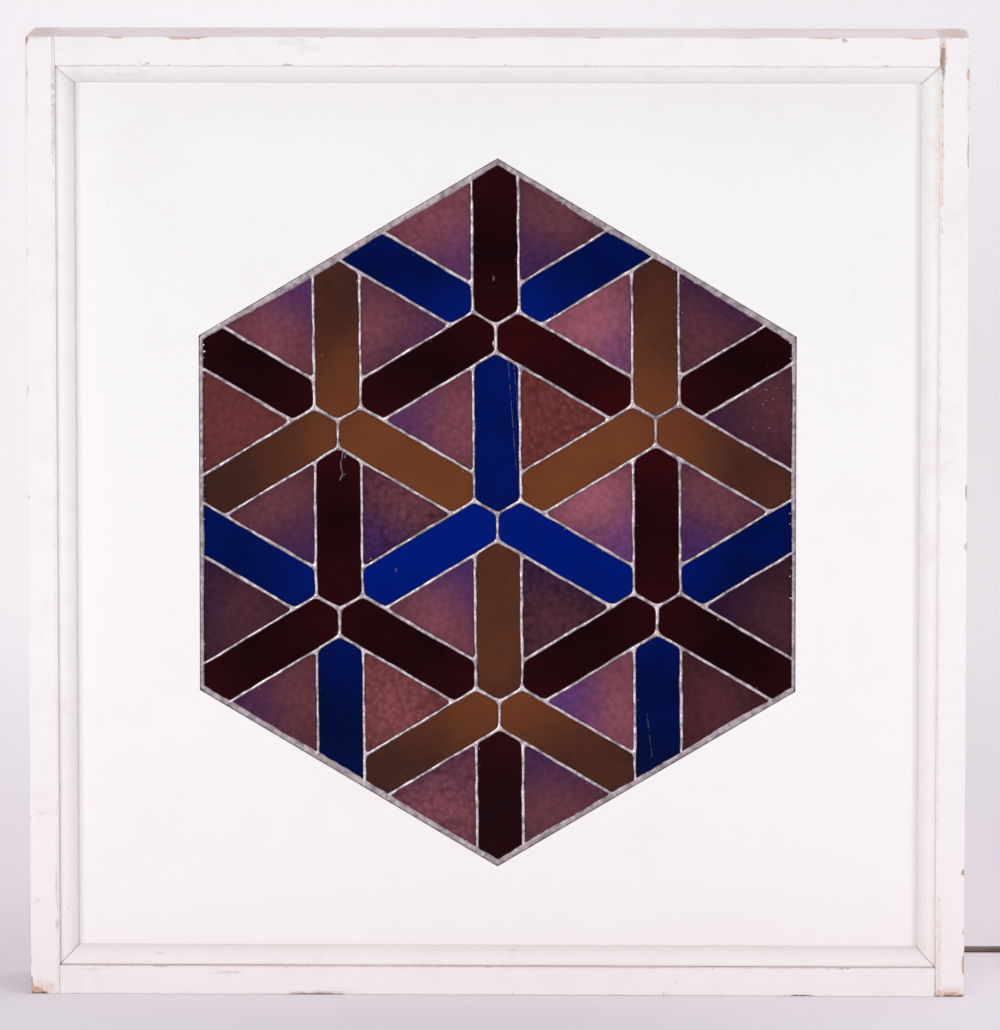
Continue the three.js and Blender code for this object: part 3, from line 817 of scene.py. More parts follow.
armSlope = math.atan2(glass["rowPitch"] / 2, glass["columnPitch"])
turnAngle = math.radians(glass["turn"])
arms = {
    "up": (0, 1, math.pi / 2),
    "left": (-1, -0.5, math.pi + armSlope),
    "right": (1, -0.5, -armSlope),
}


# The unit vector at an angle.
def wayOf(angle):
    return np.array([math.cos(angle), math.sin(angle)])


# Where a node of the lattice is, turned with the whole pattern.
def nodeAt(column, row):
    x, y = column * glass["columnPitch"], row * glass["rowPitch"]
    c, s = math.cos(turnAngle), math.sin(turnAngle)
    return np.array([x * c - y * s, x * s + y * c])


# A half-plane keeps the points whose distance along its normal is below its limit.
def halfPlane(normal, point, reach, kind):
    return (normal[0], normal[1], float(normal @ point) + reach, kind)


# How far inside each half-plane the points lie.
def gapsTo(planes, points):
    return np.array([limit - points @ np.array([nx, ny]) for nx, ny, limit, _ in planes])


# The border is an upright hexagon: two upright sides and four slopes.
def borderPlanes():
    slope = 2 * glass["rowPitch"] * math.cos(armSlope) - glass["paneWidth"] / 2
    side = 2 * glass["columnPitch"] - glass["paneWidth"] / 2
    planes = []
    for hand in (-1, 1):
        planes.append(halfPlane(np.array([hand, 0.0]), np.zeros(2), side, "border"))
        for rise in (-1, 1):
            angle = rise * (math.pi / 2 - hand * armSlope)
            planes.append(halfPlane(wayOf(angle), np.zeros(2), slope, "border"))
    return planes


border = borderPlanes()


def isInBorder(point):
    return bool(np.all(gapsTo(border, point) > 0))


def isGlass(column, row, arm):
    columns, rows, _ = arms[arm]
    return isInBorder(nodeAt(column + columns / 2, row + rows / 2))


# The near edge of an arm, as a half-plane that keeps what lies beyond it.
def armEdge(column, row, arm, facing):
    node = nodeAt(column, row)
    way = wayOf(arms[arm][2] + turnAngle)
    across = np.array([-way[1], way[0]])
    if across @ (facing - node) < 0:
        across = -across
    return halfPlane(-across, node, -glass["paneWidth"] / 2, "seam")


# The planes of a long pane: its two long sides, the mitres with its fan's other arms, and at its far end
# the near edges of the arms that start from the next node.
def longPane(column, row, arm):
    node = nodeAt(column, row)
    way = wayOf(arms[arm][2] + turnAngle)
    across = np.array([-way[1], way[0]])
    half = glass["paneWidth"] / 2
    planes = [halfPlane(across, node, half, "seam"), halfPlane(-across, node, half, "seam")]
    columns, rows, _ = arms[arm]
    for other in (name for name in arms if name != arm):
        mitre = wayOf(arms[other][2] + turnAngle) - way
        if isGlass(column, row, other):
            planes.append(halfPlane(mitre / np.linalg.norm(mitre), node, 0, "seam"))
        if isGlass(column + columns, row + rows, other):
            planes.append(armEdge(column + columns, row + rows, other, node))
    return planes + border


# The planes of the triangle between an upright arm and the two arms beside it.
def trianglePane(column, row, hand):
    middle = nodeAt(column + hand * 0.35, row + 0.5)
    roof, sill = ("left", "right") if hand < 0 else ("right", "left")
    walls = [(column, row, "up"), (column, row + 1, roof), (column + hand, row + 0.5, sill)]
    planes = [armEdge(*wall, middle) for wall in walls if isGlass(*wall)]
    return middle, planes + border


# Cuts a square down by each half-plane, drawn in by the inset of its kind.
def outlineOf(planes, insets):
    outline = glass["beyond"] * np.array([[-1, -1], [1, -1], [1, 1], [-1, 1]])
    for nx, ny, limit, kind in planes:
        beyond = outline @ np.array([nx, ny]) - (limit - insets[kind])
        kept = []
        for here, there, a, b in zip(outline, np.roll(outline, -1, 0), beyond, np.roll(beyond, -1)):
            if a <= 0:
                kept.append(here)
            if a * b < 0:
                kept.append(here + (there - here) * a / (a - b))
        outline = np.array(kept)
    return outline


# Distances in from the border's planes, for its upright sides and for its slopes.
def rimFields(points):
    upright = [plane for plane in border if abs(plane[1]) < 0.1]
    slopes = [plane for plane in border if abs(plane[1]) >= 0.1]
    return gapsTo(upright, points).min(0), gapsTo(slopes, points).min(0)


placeNames = {2: "top", 1: "upper", 0: "middle", -1: "lower", -2: "bottom"}
sideNames = {-2: "outer_left", -1: "left", 0: "centre", 1: "right", 2: "outer_right"}


# All the panes whose middle lies in the border. Colours go round by three from node to node, and the
# triangles are sorted in bands from the top, left to right.
def findPanes():
    strips, triangles = [], []
    for column in range(-2, 3):
        half = 0 if column % 2 == 0 else 0.5
        for step in range(5):
            row = 2 - half - step
            if row < -2:
                continue
            shift = row if column % 2 == 0 else row - 1.5
            color = ("cobalt", "garnet", "amber")[int(shift % 3)]
            where = f"{placeNames[math.ceil(row)]}_{sideNames[column]}"
            for arm in arms:
                if isGlass(column, row, arm):
                    strips.append({"color": color, "where": where, "arm": arm, "node": nodeAt(column, row),
                                   "planes": longPane(column, row, arm)})
            for hand in (-1, 1):
                middle, planes = trianglePane(column, row, hand)
                if isInBorder(middle):
                    triangles.append({"color": "mauve", "node": middle, "planes": planes})
    band = glass["rowPitch"] / 4
    triangles.sort(key=lambda pane: (-round(pane["node"][1] / band), pane["node"][0]))
    return strips, triangles


strips, triangles = findPanes()
print(len(strips), "long panes and", len(triangles), "triangles")


glassLooks = {
    "garnet": {"dark": (0.0150, 0.0026, 0.0042), "light": (0.0520, 0.0044, 0.0068)},
    "cobalt": {"dark": (0.0006, 0.0062, 0.062), "light": (0.0, 0.0170, 0.300)},
    "amber": {"dark": (0.082, 0.029, 0.022), "light": (0.262, 0.079, 0.028)},
    "mauve": {"dark": (0.170, 0.052, 0.092), "light": (0.490, 0.160, 0.218)},
    "violet": (0.170, 0.066, 0.330),
    "russet": (0.360, 0.085, 0.062),
    "speck": (0.62, 0.50, 0.50),
    "throughShare": 0.40,   # of the light that goes on through the glass
    "sheen": 0.022,         # how strongly the face mirrors the room, 0.5 for plain window glass
    "mirror": (0.22, 0.22, 0.22, 1),   # and how much of that is left seen straight on
    "dimples": 275.0,       # cells of the hammered face to a metre, and how deep their painted shade goes
    "dimpleShade": {"mauve": 0.55, "hammered": 1.05},
}

# Scratches on the cobalt strips: start, way, length in metres, half width.
scratches = [
    ((0.0063, -0.02674, 0.4270), (0.074, 0, -0.997), 0.082, 0.00020),
    ((0.0098, -0.02674, 0.4262), (0.083, 0, -0.997), 0.050, 0.00016),
    ((0.0983, -0.02674, 0.1860), (0.118, 0, -0.993), 0.030, 0.00018),
]


# Coloured glass: the painted glow, light painted into the colour as though shining through the pane, is
# brightest at the fan's own node; depth darkens it, partly as painted shade; rim is dark flux at the edge.
# The streaky kind also has a violet end and may turn russet.
def makeGlass(name, values, kind):
    material, tree, shader, where = newMaterial(name)
    paintedGlow, depth, rim = (attributeValue(tree, label) for label in ("paintedGlow", "depth", "rim"))
    uneven = useGroup(tree, "uneven", where, {"Broad": 30.0, "Fine": 210.0})
    specks = useGroup(tree, "specks", where, {"Scale": 62.0, "Size": 0.055})
    drift = times(tree, maths(tree, "SUBTRACT", uneven["Shade"], 0.5), 0.9)
    # Painted light: the glow mixes the colour from dark to light as though lit through the glass.
    color = mixColors(tree, plus(tree, paintedGlow, drift, clamp=True), values["dark"], values["light"])
    if kind in ("mauve", "hammered"):
        swirl = useGroup(tree, "uneven", where, {"Broad": 55.0, "Fine": 140.0})
        turn = times(tree, maths(tree, "SUBTRACT", swirl["Shade"], 0.5), 1.3)
        rustShare = plus(tree, attributeValue(tree, "rust"), times(tree, turn, 0.4), clamp=True)
        color = layOver(tree, color, rustShare, 0.85, glassLooks["russet"])
        violet = plus(tree, attributeValue(tree, "violet"), times(tree, turn, 0.35), clamp=True)
        color = layOver(tree, color, violet, 0.9, glassLooks["violet"])
        # Painted shade: each dimple of the hammered face darkens or lightens the colour, beside a faint
        # bump.
        cells = addNode(tree, "ShaderNodeTexVoronoi", {"Vector": where, "Scale": glassLooks["dimples"],
                        "Smoothness": 0.9}, feature="SMOOTH_F1")
        shade = times(tree, maths(tree, "SUBTRACT", 0.42, cells.outputs["Distance"]),
                      glassLooks["dimpleShade"][kind])
        color = mixColors(tree, 1.0, color, plus(tree, 1.0, shade), "MULTIPLY")
        bump = (cells.outputs["Distance"], 0.10 if kind == "mauve" else 0.16, 0.0008)
    elif kind == "ripple":
        place = addNode(tree, "ShaderNodeMapping", {"Vector": where, "Rotation": (0, 0.06, 0)})
        waves = addNode(tree, "ShaderNodeTexWave", {"Vector": place.outputs[0], "Scale": 165.0,
                        "Distortion": 4.0, "Detail": 2.0, "Detail Scale": 0.5}, bands_direction="Z")
        # Painted shade and highlight: the ripples darken and lighten the colour in bands.
        shade = times(tree, times(tree, waves.outputs["Fac"], uneven["Shade"]), 0.9)
        color = mixColors(tree, 1.0, color, plus(tree, 0.76, shade), "MULTIPLY")
        bump = (waves.outputs["Fac"], 0.04, 0.0005)
    else:
        bump = (uneven["Shade"], 0.12, 0.0008)
    # Depth darkens the colour: a tone of its own on the triangles, painted shade towards the outside of the
    # hexagon on the strips.
    color = mixColors(tree, 1.0, color, depth, "MULTIPLY")
    color = layOver(tree, color, rim, 0.6, (0.004, 0.003, 0.004))
    color = layOver(tree, color, specks["Mask"], 0.22, glassLooks["speck"])
    if name.startswith("cobalt"):
        for start, way, length, width in scratches:
            scratch = useGroup(tree, "scratch", where, {"Start": start, "Way": way,
                                                 "Length": length, "Width": width})
            color = layOver(tree, color, scratch["Mask"], 0.30, glassLooks["speck"])
    setSurface(tree, shader, color, 0.08, uneven["Shade"], 0.12)
    shader.inputs["Transmission Weight"].default_value = glassLooks["throughShare"]
    shader.inputs["IOR"].default_value = 1.5
    shader.inputs["Specular IOR Level"].default_value = glassLooks["sheen"]
    shader.inputs["Specular Tint"].default_value = glassLooks["mirror"]
    bumpInto(tree, shader, *bump)
    return material


glassMaterials = {
    "garnet": makeGlass("garnetGlass", glassLooks["garnet"], "ripple"),
    "cobalt": makeGlass("cobaltGlass", glassLooks["cobalt"], "smooth"),
    "amber": makeGlass("amberGlass", glassLooks["amber"], "smooth"),
    "mauve": makeGlass("mauveGlass", glassLooks["mauve"], "mauve"),
    "hammered": makeGlass("hammeredMauveGlass", glassLooks["mauve"], "hammered"),
}

# The cut of each triangle, from the top and left to right: which way its violet end points (degrees,
# none where it has no violet), how strong the violet is, how russet and how light it is, hammered or not.
triangleCuts = [
    (300, 0.7, 0.15, 0.75, False), (240, 1.0, 0.0, 0.45, False),
    (60, 0.9, 0.25, 0.65, False), (340, 0.5, 0.0, 0.55, False),
    (320, 0.4, 0.10, 1.10, False), (60, 0.8, 0.0, 0.35, False),
    (None, 0.0, 0.80, 0.57, False), (180, 0.8, 0.25, 0.70, False),
    (None, 0.0, 1.0, 0.60, True), (210, 0.4, 0.10, 0.34, False),
    (300, 1.0, 0.15, 0.45, False), (235, 1.3, 0.0, 0.42, True),
    (300, 0.8, 0.10, 1.05, False), (240, 1.2, 0.0, 0.50, False),
    (165, 0.7, 0.0, 0.26, False), (60, 1.0, 0.10, 0.65, False),
    (90, 0.7, 0.0, 0.28, True), (150, 0.7, 0.0, 0.21, False),
    (180, 0.6, 0.20, 0.50, False), (None, 0.0, 0.60, 0.75, True),
    (180, 1.0, 0.15, 0.84, False), (None, 0.0, 0.35, 0.26, False),
    (90, 0.2, 0.15, 0.60, True), (90, 0.7, 0.15, 0.46, False),
]

paneMesh = {
    "around": 84,
    "rings": 13,
    "nearRim": (0.94, 0.97, 0.99),   # rings near the rim, as shares of the outline
    "rimAndBack": (1, 1, 0.66, 0.33),
    "leastSide": 0.05,
    "sag": 0.12,        # how far the faces sink, and the cell of that
    "sagCell": 22.0,
    "flux": (0.9, 1.5),  # dark flux fades between these distances from a seam's middle
}


# A pane: its outline drawn in ring by ring to the middle on the front, round the edge, and the same behind.
def addPane(name, pane, color, attributesOf):
    outline = outlineOf(pane["planes"], {"seam": glass["seamInset"], "border": glass["borderInset"]})
    outline = outline[np.linalg.norm(outline - np.roll(outline, 1, 0), axis=1) > paneMesh["leastSide"]]
    lengths = np.linalg.norm(np.roll(outline, -1, 0) - outline, axis=1)
    counts = np.maximum(2, np.round(lengths / lengths.sum() * paneMesh["around"])).astype(int)
    rim = np.vstack([a + (b - a) * (np.arange(n) / n)[:, None]
                     for a, b, n in zip(outline, np.roll(outline, -1, 0), counts)])
    middle = rim.mean(0)
    scale = np.linspace(0.08, 0.88, paneMesh["rings"])
    scale = np.concatenate([scale, paneMesh["nearRim"], paneMesh["rimAndBack"]])
    face = glass["thick"] / 2
    level = np.full(len(scale), face)
    level[-3:] = -face
    flat = middle + (rim - middle)[None] * scale[:, None, None]
    spots = np.concatenate([flat, np.broadcast_to(level[:, None, None], (*flat.shape[:2], 1))], -1)
    points, faces = skinOf(spots, [*middle, face], [*middle, -face])
    spread = points[:, :2]
    dip = paneMesh["sag"] * (0.5 + 0.5 * smoothNoise(spread, paneMesh["sagCell"], 77))
    points[:, 2] -= np.sign(points[:, 2]) * dip
    values = attributesOf(spread)
    values["rim"] = 1 - smoothStep(*paneMesh["flux"], gapsTo(pane["planes"], spread).min(0))
    made = addMesh(name, standUp(points), faces, glassMaterials[color], values, facing=-1)
    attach(made, "root")
    return made


stripLooks = {
    "rise": (18, 116),          # painted glow rises between these distances from the border
    "garnetWave": (0.30, 0.25, 17.0),   # garnet's painted glow rises and falls in waves along the strip: middle, swing, length
    "cobaltFade": (30, 105),    # cobalt's painted glow fades between these distances below the middle of the window
    "outside": (130, 235),      # depth falls between these distances from the middle, as painted shade
}

# Strips that are lighter or darker than their neighbours of the same colour.
paneTones = {
    ("cobalt", "middle_centre", "up"): -0.62,
    ("cobalt", "middle_centre", "right"): -0.12,
    ("garnet", "upper_centre", "right"): 0.45,
    ("garnet", "middle_left", "up"): 0.12,
    ("garnet", "middle_right", "up"): 0.15,
    ("amber", "lower_centre", "up"): -0.60,
    ("amber", "upper_left", "left"): -0.10,
}


# The painted glow fades towards the border, in garnet it rises and falls along the strip; depth darkens the
# glass a little towards the outside of the hexagon, as painted shade.
def stripValues(pane, seed):
    shift = 0.10 * smoothNoise(np.array([pane["node"] + seed * 31.0]), 9.0, seed)[0]

    def values(spread):
        paintedGlow = 0.10 + 0.90 * smoothStep(*stripLooks["rise"], np.minimum(*rimFields(spread)))
        if pane["color"] == "garnet":
            middle, swing, length = stripLooks["garnetWave"]
            paintedGlow = middle + swing * np.cos(np.linalg.norm(spread - pane["node"], axis=1) / length)
        if pane["color"] == "cobalt":
            paintedGlow = (0.12 + 0.88 * paintedGlow) * (1 - 0.7 * smoothStep(*stripLooks["cobaltFade"], -spread[:, 1]))
        paintedGlow = paintedGlow * (1 + shift) + paneTones.get((pane["color"], pane["where"], pane["arm"]), 0)
        outside = smoothStep(*stripLooks["outside"], np.linalg.norm(spread, axis=1))
        return {"paintedGlow": paintedGlow, "depth": 1 - 0.1 * outside + 0.5 * shift}

    return values


triangleLooks = {
    "violet": (-12, 30),    # the violet end comes in between these distances along its way
    "heart": 10.0,          # the painted glow is brightest this far the other way
    "spread": 30.0,         # and fades over this distance
    "cloud": (0.16, 26.0),  # amount and cell of its clouds
}


# Violet rises along one way across the triangle; the painted glow falls like a bell round a heart the other
# way.
def triangleValues(cut):
    angle, strength, rust, light, _ = cut

    def values(spread):
        off = spread - spread.mean(0)
        violet = np.zeros(len(off))
        heart = np.zeros(2)
        if angle is not None:
            way = wayOf(math.radians(angle))
            violet = 0.8 * strength * smoothStep(*triangleLooks["violet"], off @ way)
            heart = -triangleLooks["heart"] * way
        far = np.linalg.norm(off - heart, axis=1) / triangleLooks["spread"]
        paintedGlow = 0.10 + 0.80 * np.exp(-(far**2)) + drift(spread, triangleLooks["cloud"], 5)
        return {"paintedGlow": paintedGlow, "violet": violet, "rust": np.full(len(off), rust),
                "depth": np.full(len(off), light)}

    return values


panesByFan = {}
for number, pane in enumerate(strips):
    panesByFan.setdefault((pane["color"], pane["where"]), []).append((number, pane))
for (color, where), members in panesByFan.items():
    kind = "fan" if len(members) > 1 else "pane"
    node = f"{color}_{kind}_{where}"
    for number, pane in members:
        name = f"{node}_{pane['arm']}_glass"
        made = addPane(name, pane, color, stripValues(pane, number + 1))
        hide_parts(node)
for number, (pane, cut) in enumerate(zip(triangles, triangleCuts), 1):
    name = f"mauve_triangle_{number:02d}"
    color = "hammered" if cut[-1] else "mauve"
    made = addPane(name + "_glass", pane, color, triangleValues(cut))
    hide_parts(name)
print("glass is made")


solder = {
    "color": (0.76, 0.67, 0.71),
    "dull": (0.24, 0.195, 0.215),
    "flux": (0.05, 0.036, 0.038),
    "seamHalf": 1.10,     # half width of a bead over a seam
    "seamSwell": 0.28,    # how much that wanders
    "borderSlope": 1.5,   # from the border's own line inwards, on the slopes
    "borderSide": 0.35,   # and on the upright sides
    "borderSwell": 1.5,
    "outer": 2.36,        # from the border's own line out to the panel
    "height": 1.08,       # of a bead above the glass
    "least": 0.04,        # and at the foot of one
    "lift": 0.02,         # from the glass to the underside
    "step": 0.69,         # of the grid that the beads are laid on
    "backStep": 1.3,
    "fillet": 0.95,       # rounds the corners of the panes
    "margin": 8.0,        # of the grid round the glass
    "wander": (0.28, 9.0),    # amount and cell of the noise that moves the seams,
    "swellFine": (0.6, 7.0),  # that swells them, fine and broad,
    "swellBroad": (0.4, 26.0),
    "ragged": (0.3, 3.0),     # that frays the border,
    "bulge": (0.2, 45.0),     # that widens it here and there,
    "chips": (0.3, 3.5),      # that eats into it from the panel,
    "tall": (0.14, 11.0),     # and that lifts and pits the beads
    "pits": (0.05, 2.4),
    "webHalf": 0.45,      # half the thickness of the foil walls
}


# Tinned solder: crest is 1 along the top of a bead, band is 1 on the border, that is dull and rough.
def makeSolder():
    material, tree, shader, where = newMaterial("tinnedSolder")
    crest, band = attributeValue(tree, "crest"), attributeValue(tree, "band")
    uneven = useGroup(tree, "uneven", where, {"Broad": 190.0, "Fine": 620.0})
    grime = useGroup(tree, "grime", where, {"Scale": 260.0, "Amount": 0.85})
    color = mixColors(tree, easeBetween(tree, uneven["Shade"], 0.38, 0.66), solder["color"], solder["dull"])
    color = mixColors(tree, grime["Mask"], color, solder["dull"])
    color = layOver(tree, color, band, 0.5, solder["dull"])
    foot = easeDown(tree, crest, 0.1, 0.62)
    color = layOver(tree, color, foot, 0.75, solder["flux"])
    tree.links.new(color, shader.inputs["Base Color"])
    shader.inputs["Metallic"].default_value = 0.85
    rough = plus(tree, 0.24, times(tree, uneven["Shade"], 0.28))
    tree.links.new(plus(tree, rough, times(tree, band, 0.16)), shader.inputs["Roughness"])
    bumpInto(tree, shader, uneven["Shade"], 0.6, 0.0012)
    return material


solderMetal = makeSolder()


# For points in the glass: distance to the nearest seam, eased where two seams meet, and to the border.
def seamField(points):
    rim = np.minimum(*rimFields(points))
    seam = np.full(len(points), -50.0)
    for pane in strips + triangles:
        outline = outlineOf(pane["planes"], {"seam": -4.0, "border": -4.0})
        low, high = outline.min(0), outline.max(0)
        near = np.flatnonzero(np.all((points > low) & (points < high), axis=1))
        gaps = gapsTo([plane for plane in pane["planes"] if plane[3] == "seam"], points[near])
        least = gaps.min(0)
        blunt = -solder["fillet"] * np.log(np.exp(-(gaps - least) / solder["fillet"]).sum(0)) + least
        inside = least > -0.75
        blend = np.where(inside, np.where(least < 0, least, blunt), -50.0)
        seam[near] = np.maximum(seam[near], blend)
    return np.abs(seam), rim


# Walks the cells of a grid and keeps the part where the field is above zero: corners that are
# inside stay, and the rim runs through the points where the field crosses zero on the cell edges.
def contourCells(field):
    rows, columns = field.shape
    inside = field > 0
    corner = np.arange(rows * columns).reshape(rows, columns)
    acrossCut = inside[:, :-1] != inside[:, 1:]
    upCut = inside[:-1] != inside[1:]
    acrossId = np.full(acrossCut.shape, -1)
    acrossId[acrossCut] = np.arange(acrossCut.sum())
    upId = np.full(upCut.shape, -1)
    upId[upCut] = np.arange(upCut.sum()) + acrossCut.sum()
    ids = [corner[:-1, :-1], acrossId[:-1], corner[:-1, 1:], upId[:, 1:],
           corner[1:, 1:], acrossId[1:], corner[1:, :-1], upId[:, :-1]]
    case = sum(inside[r, c].astype(int) << bit for bit, (r, c) in enumerate(
        [(slice(None, -1), slice(None, -1)), (slice(None, -1), slice(1, None)),
         (slice(1, None), slice(1, None)), (slice(1, None), slice(None, -1))]))
    faces = []
    for kind in range(1, 16):
        held = [kind >> bit & 1 for bit in range(4)]
        loop = []
        for bit in range(4):
            if held[bit]:
                loop.append(2 * bit)
            if held[bit] != held[(bit + 1) % 4]:
                loop.append(2 * bit + 1)
        chosen = case == kind
        if chosen.any():
            faces.append((np.stack([ids[slot][chosen] for slot in loop], -1), np.array(loop) % 2 == 1))
    r, c = np.nonzero(acrossCut)
    share = field[r, c] / (field[r, c] - field[r, c + 1])
    cuts = [np.stack([r, c + share], -1)]
    r, c = np.nonzero(upCut)
    share = field[r, c] / (field[r, c] - field[r + 1, c])
    cuts.append(np.stack([r + share, c], -1))
    return inside, faces, np.vstack(cuts)


# A quarter circle's rise from 0 at the foot to 1.
def roundRise(share):
    return np.sqrt(np.clip(1 - (1 - np.clip(share, 0, 1)) ** 2, 0, 1))


# Beads on one face of the glass: a height over the grid where the field says there is solder, rounded
# like a drop across each seam and flatter on the border, on a flat underside that lies on the glass.
def addBeads(name, side, step, seed):
    width = 4 * glass["columnPitch"] - glass["paneWidth"] + solder["margin"]
    height = 4 * glass["rowPitch"] + solder["margin"]
    x = np.arange(-width / 2, width / 2, step) + 0.013
    y = np.arange(-height / 2, height / 2, step) + 0.017
    gridX, gridY = np.meshgrid(x, y)
    points = np.stack([gridX.ravel(), gridY.ravel()], -1)
    wander = [drift(points, solder["wander"], seed + more) for more in (3, 4)]
    seam = seamField(points + np.stack(wander, -1))[0]
    upright, slope = rimFields(points)
    corner = np.log(np.exp(-np.clip(upright, -9, 9)) + np.exp(-np.clip(slope, -9, 9)))
    swell = drift(points, solder["swellFine"], seed) + drift(points, solder["swellBroad"], seed + 1)
    seamHalf = solder["seamHalf"] + solder["seamSwell"] * swell
    least, cell = solder["bulge"]
    bulge = solder["borderSwell"] * np.maximum(0, least + smoothNoise(points, cell, seed + 2))
    bulge += drift(points, solder["ragged"], seed + 9)
    outer = solder["outer"] - corner - np.maximum(0, drift(points, solder["chips"], seed + 8))
    overSeam = np.minimum(seamHalf - seam, outer)
    inner = np.maximum(solder["borderSlope"] + bulge - slope, solder["borderSide"] + 0.4 * bulge - upright)
    overBorder = np.minimum(inner, outer)
    field = np.maximum(overSeam, overBorder)
    bead = roundRise(overSeam / seamHalf)
    strip = 0.62 * roundRise(overBorder / 0.9)
    tall = solder["height"] * (0.80 + drift(points, solder["tall"], seed + 6)) * np.maximum(bead, strip)
    tall += drift(points, solder["pits"], seed + 7) * np.clip(field, 0, 1)
    shape = gridX.shape
    inside, faces, cuts = contourCells(field.reshape(shape))
    order = np.full(inside.size, -1)
    kept = np.flatnonzero(inside.ravel())
    order[kept] = np.arange(len(kept))
    base = glass["thick"] / 2 + solder["lift"]
    count = len(kept)
    top = np.column_stack([points[kept], base + np.clip(tall[kept], solder["least"], solder["height"])])
    under = np.column_stack([points[kept], np.full(count, base)])
    foot = np.column_stack([x[0] + cuts[:, 1] * step, y[0] + cuts[:, 0] * step, np.full(len(cuts), base)])
    allFaces = []
    for loops, onRim in faces:
        upper = np.where(onRim, loops + 2 * count, order[np.where(onRim, 0, loops)])
        lower = np.where(onRim, upper, upper + count)
        allFaces += upper.tolist() + lower[:, ::-1].tolist()
    local = np.vstack([top, under, foot])
    local[:, 2] *= side
    rest = np.zeros(len(local) - count)
    crest = np.where(overBorder > overSeam, 0.62 + 0.6 * strip, bead)
    values = {"crest": np.append(crest[kept], rest + 0.5),
              "band": np.append((overBorder > overSeam)[kept], rest)}
    piece = addMesh(name, standUp(local), allFaces, solderMetal, values, facing=side)
    print(name, "has", sum(len(face) - 2 for face in allFaces), "triangles")
    return standFor(piece, "solder", "solder_net")


addBeads("solder_front", 1, solder["step"], 101)
addBeads("solder_back", -1, solder["backStep"], 151)


boxFaces = [(3, 2, 1, 0), (4, 5, 6, 7), (0, 1, 5, 4), (1, 2, 6, 5), (2, 3, 7, 6), (3, 0, 4, 7)]


# The thin walls of foil and solder between the panes: a flat bar along each edge of each strip.
def addWebs():
    points, faces = [], []
    for pane in strips:
        outline = outlineOf(pane["planes"], {"seam": 0, "border": 0})
        for a, b in zip(outline, np.roll(outline, -1, 0)):
            length = np.linalg.norm(b - a)
            if length < 0.5:
                continue
            way = (b - a) / length
            across = np.array([-way[1], way[0]]) * solder["webHalf"]
            square = np.array([a - across, b - across, b + across, a + across])
            first = len(points) * 8
            level = np.repeat([-0.5, 0.5], 4)[:, None] * glass["thick"]
            points.append(np.hstack([np.tile(square, (2, 1)), level]))
            faces += [[first + i for i in loop] for loop in boxFaces]
    upright = standUp(np.vstack(points))
    standFor(addMesh("foil_walls", upright, faces, solderMetal, smooth=False), "solder", "solder_net")


# Spatter: how many drops in each place, their radius, how far off a seam they lie and how deep they sit.
spatter = {
    "sides": 9,
    "rings": 4,
    "closing": 0.42,        # how far up the dome the rings go, 0.5 for its top
    "tries": 60000,         # thrown over this far to each side
    "reach": (200, 240),
    "beside": {"count": 60, "seam": (1.6, 3.2), "rim": 4.0},
    "strewn": {"count": 16, "at": (176, 78), "reach": (12, 22), "seam": 2.0},
    "lumps": {"count": 90, "lowCount": 26, "lowBelow": -60.0, "rim": 0.2, "within": 1.5},
    "radius": (0.16, 0.34),
    "lumpRadius": (0.3, 0.75),
    "sink": 0.1,
    "lumpLift": 0.55,
    "hanging": [(-2.6, 112.6), (-2.2, 110.4)],   # one drop by the upper node, of two
    "hangingSizes": [(1.1, 1.9, 1.1), (0.8, 1.3, 0.9)],
    "hangingLevel": 1.4,
}


# Half drops: rings of a dome drawn in to its top, set at each place with its own size and lean.
def addDrops(name, places, sizes, level):
    sides = spatter["sides"]
    tilt = np.linspace(0, spatter["closing"] * math.pi, spatter["rings"])
    around = np.arange(sides) * tau / sides
    dome = np.stack([np.cos(tilt)[:, None] * np.cos(around), np.cos(tilt)[:, None] * np.sin(around),
                     np.repeat(np.sin(tilt)[:, None], sides, 1)], -1)
    points, faces = skinOf(dome[::-1], (0, 0, 1), (0, 0, 0))
    local = np.column_stack([places, level])[:, None] + points[None] * sizes[:, None]
    upright = standUp(local.reshape(-1, 3))
    allFaces = [[i + n * len(points) for i in face] for n in range(len(places)) for face in faces]
    crest = {"crest": np.full(len(upright), 0.8)}
    return standFor(addMesh(name, upright, allFaces, solderMetal, crest, facing=-1), "solder")


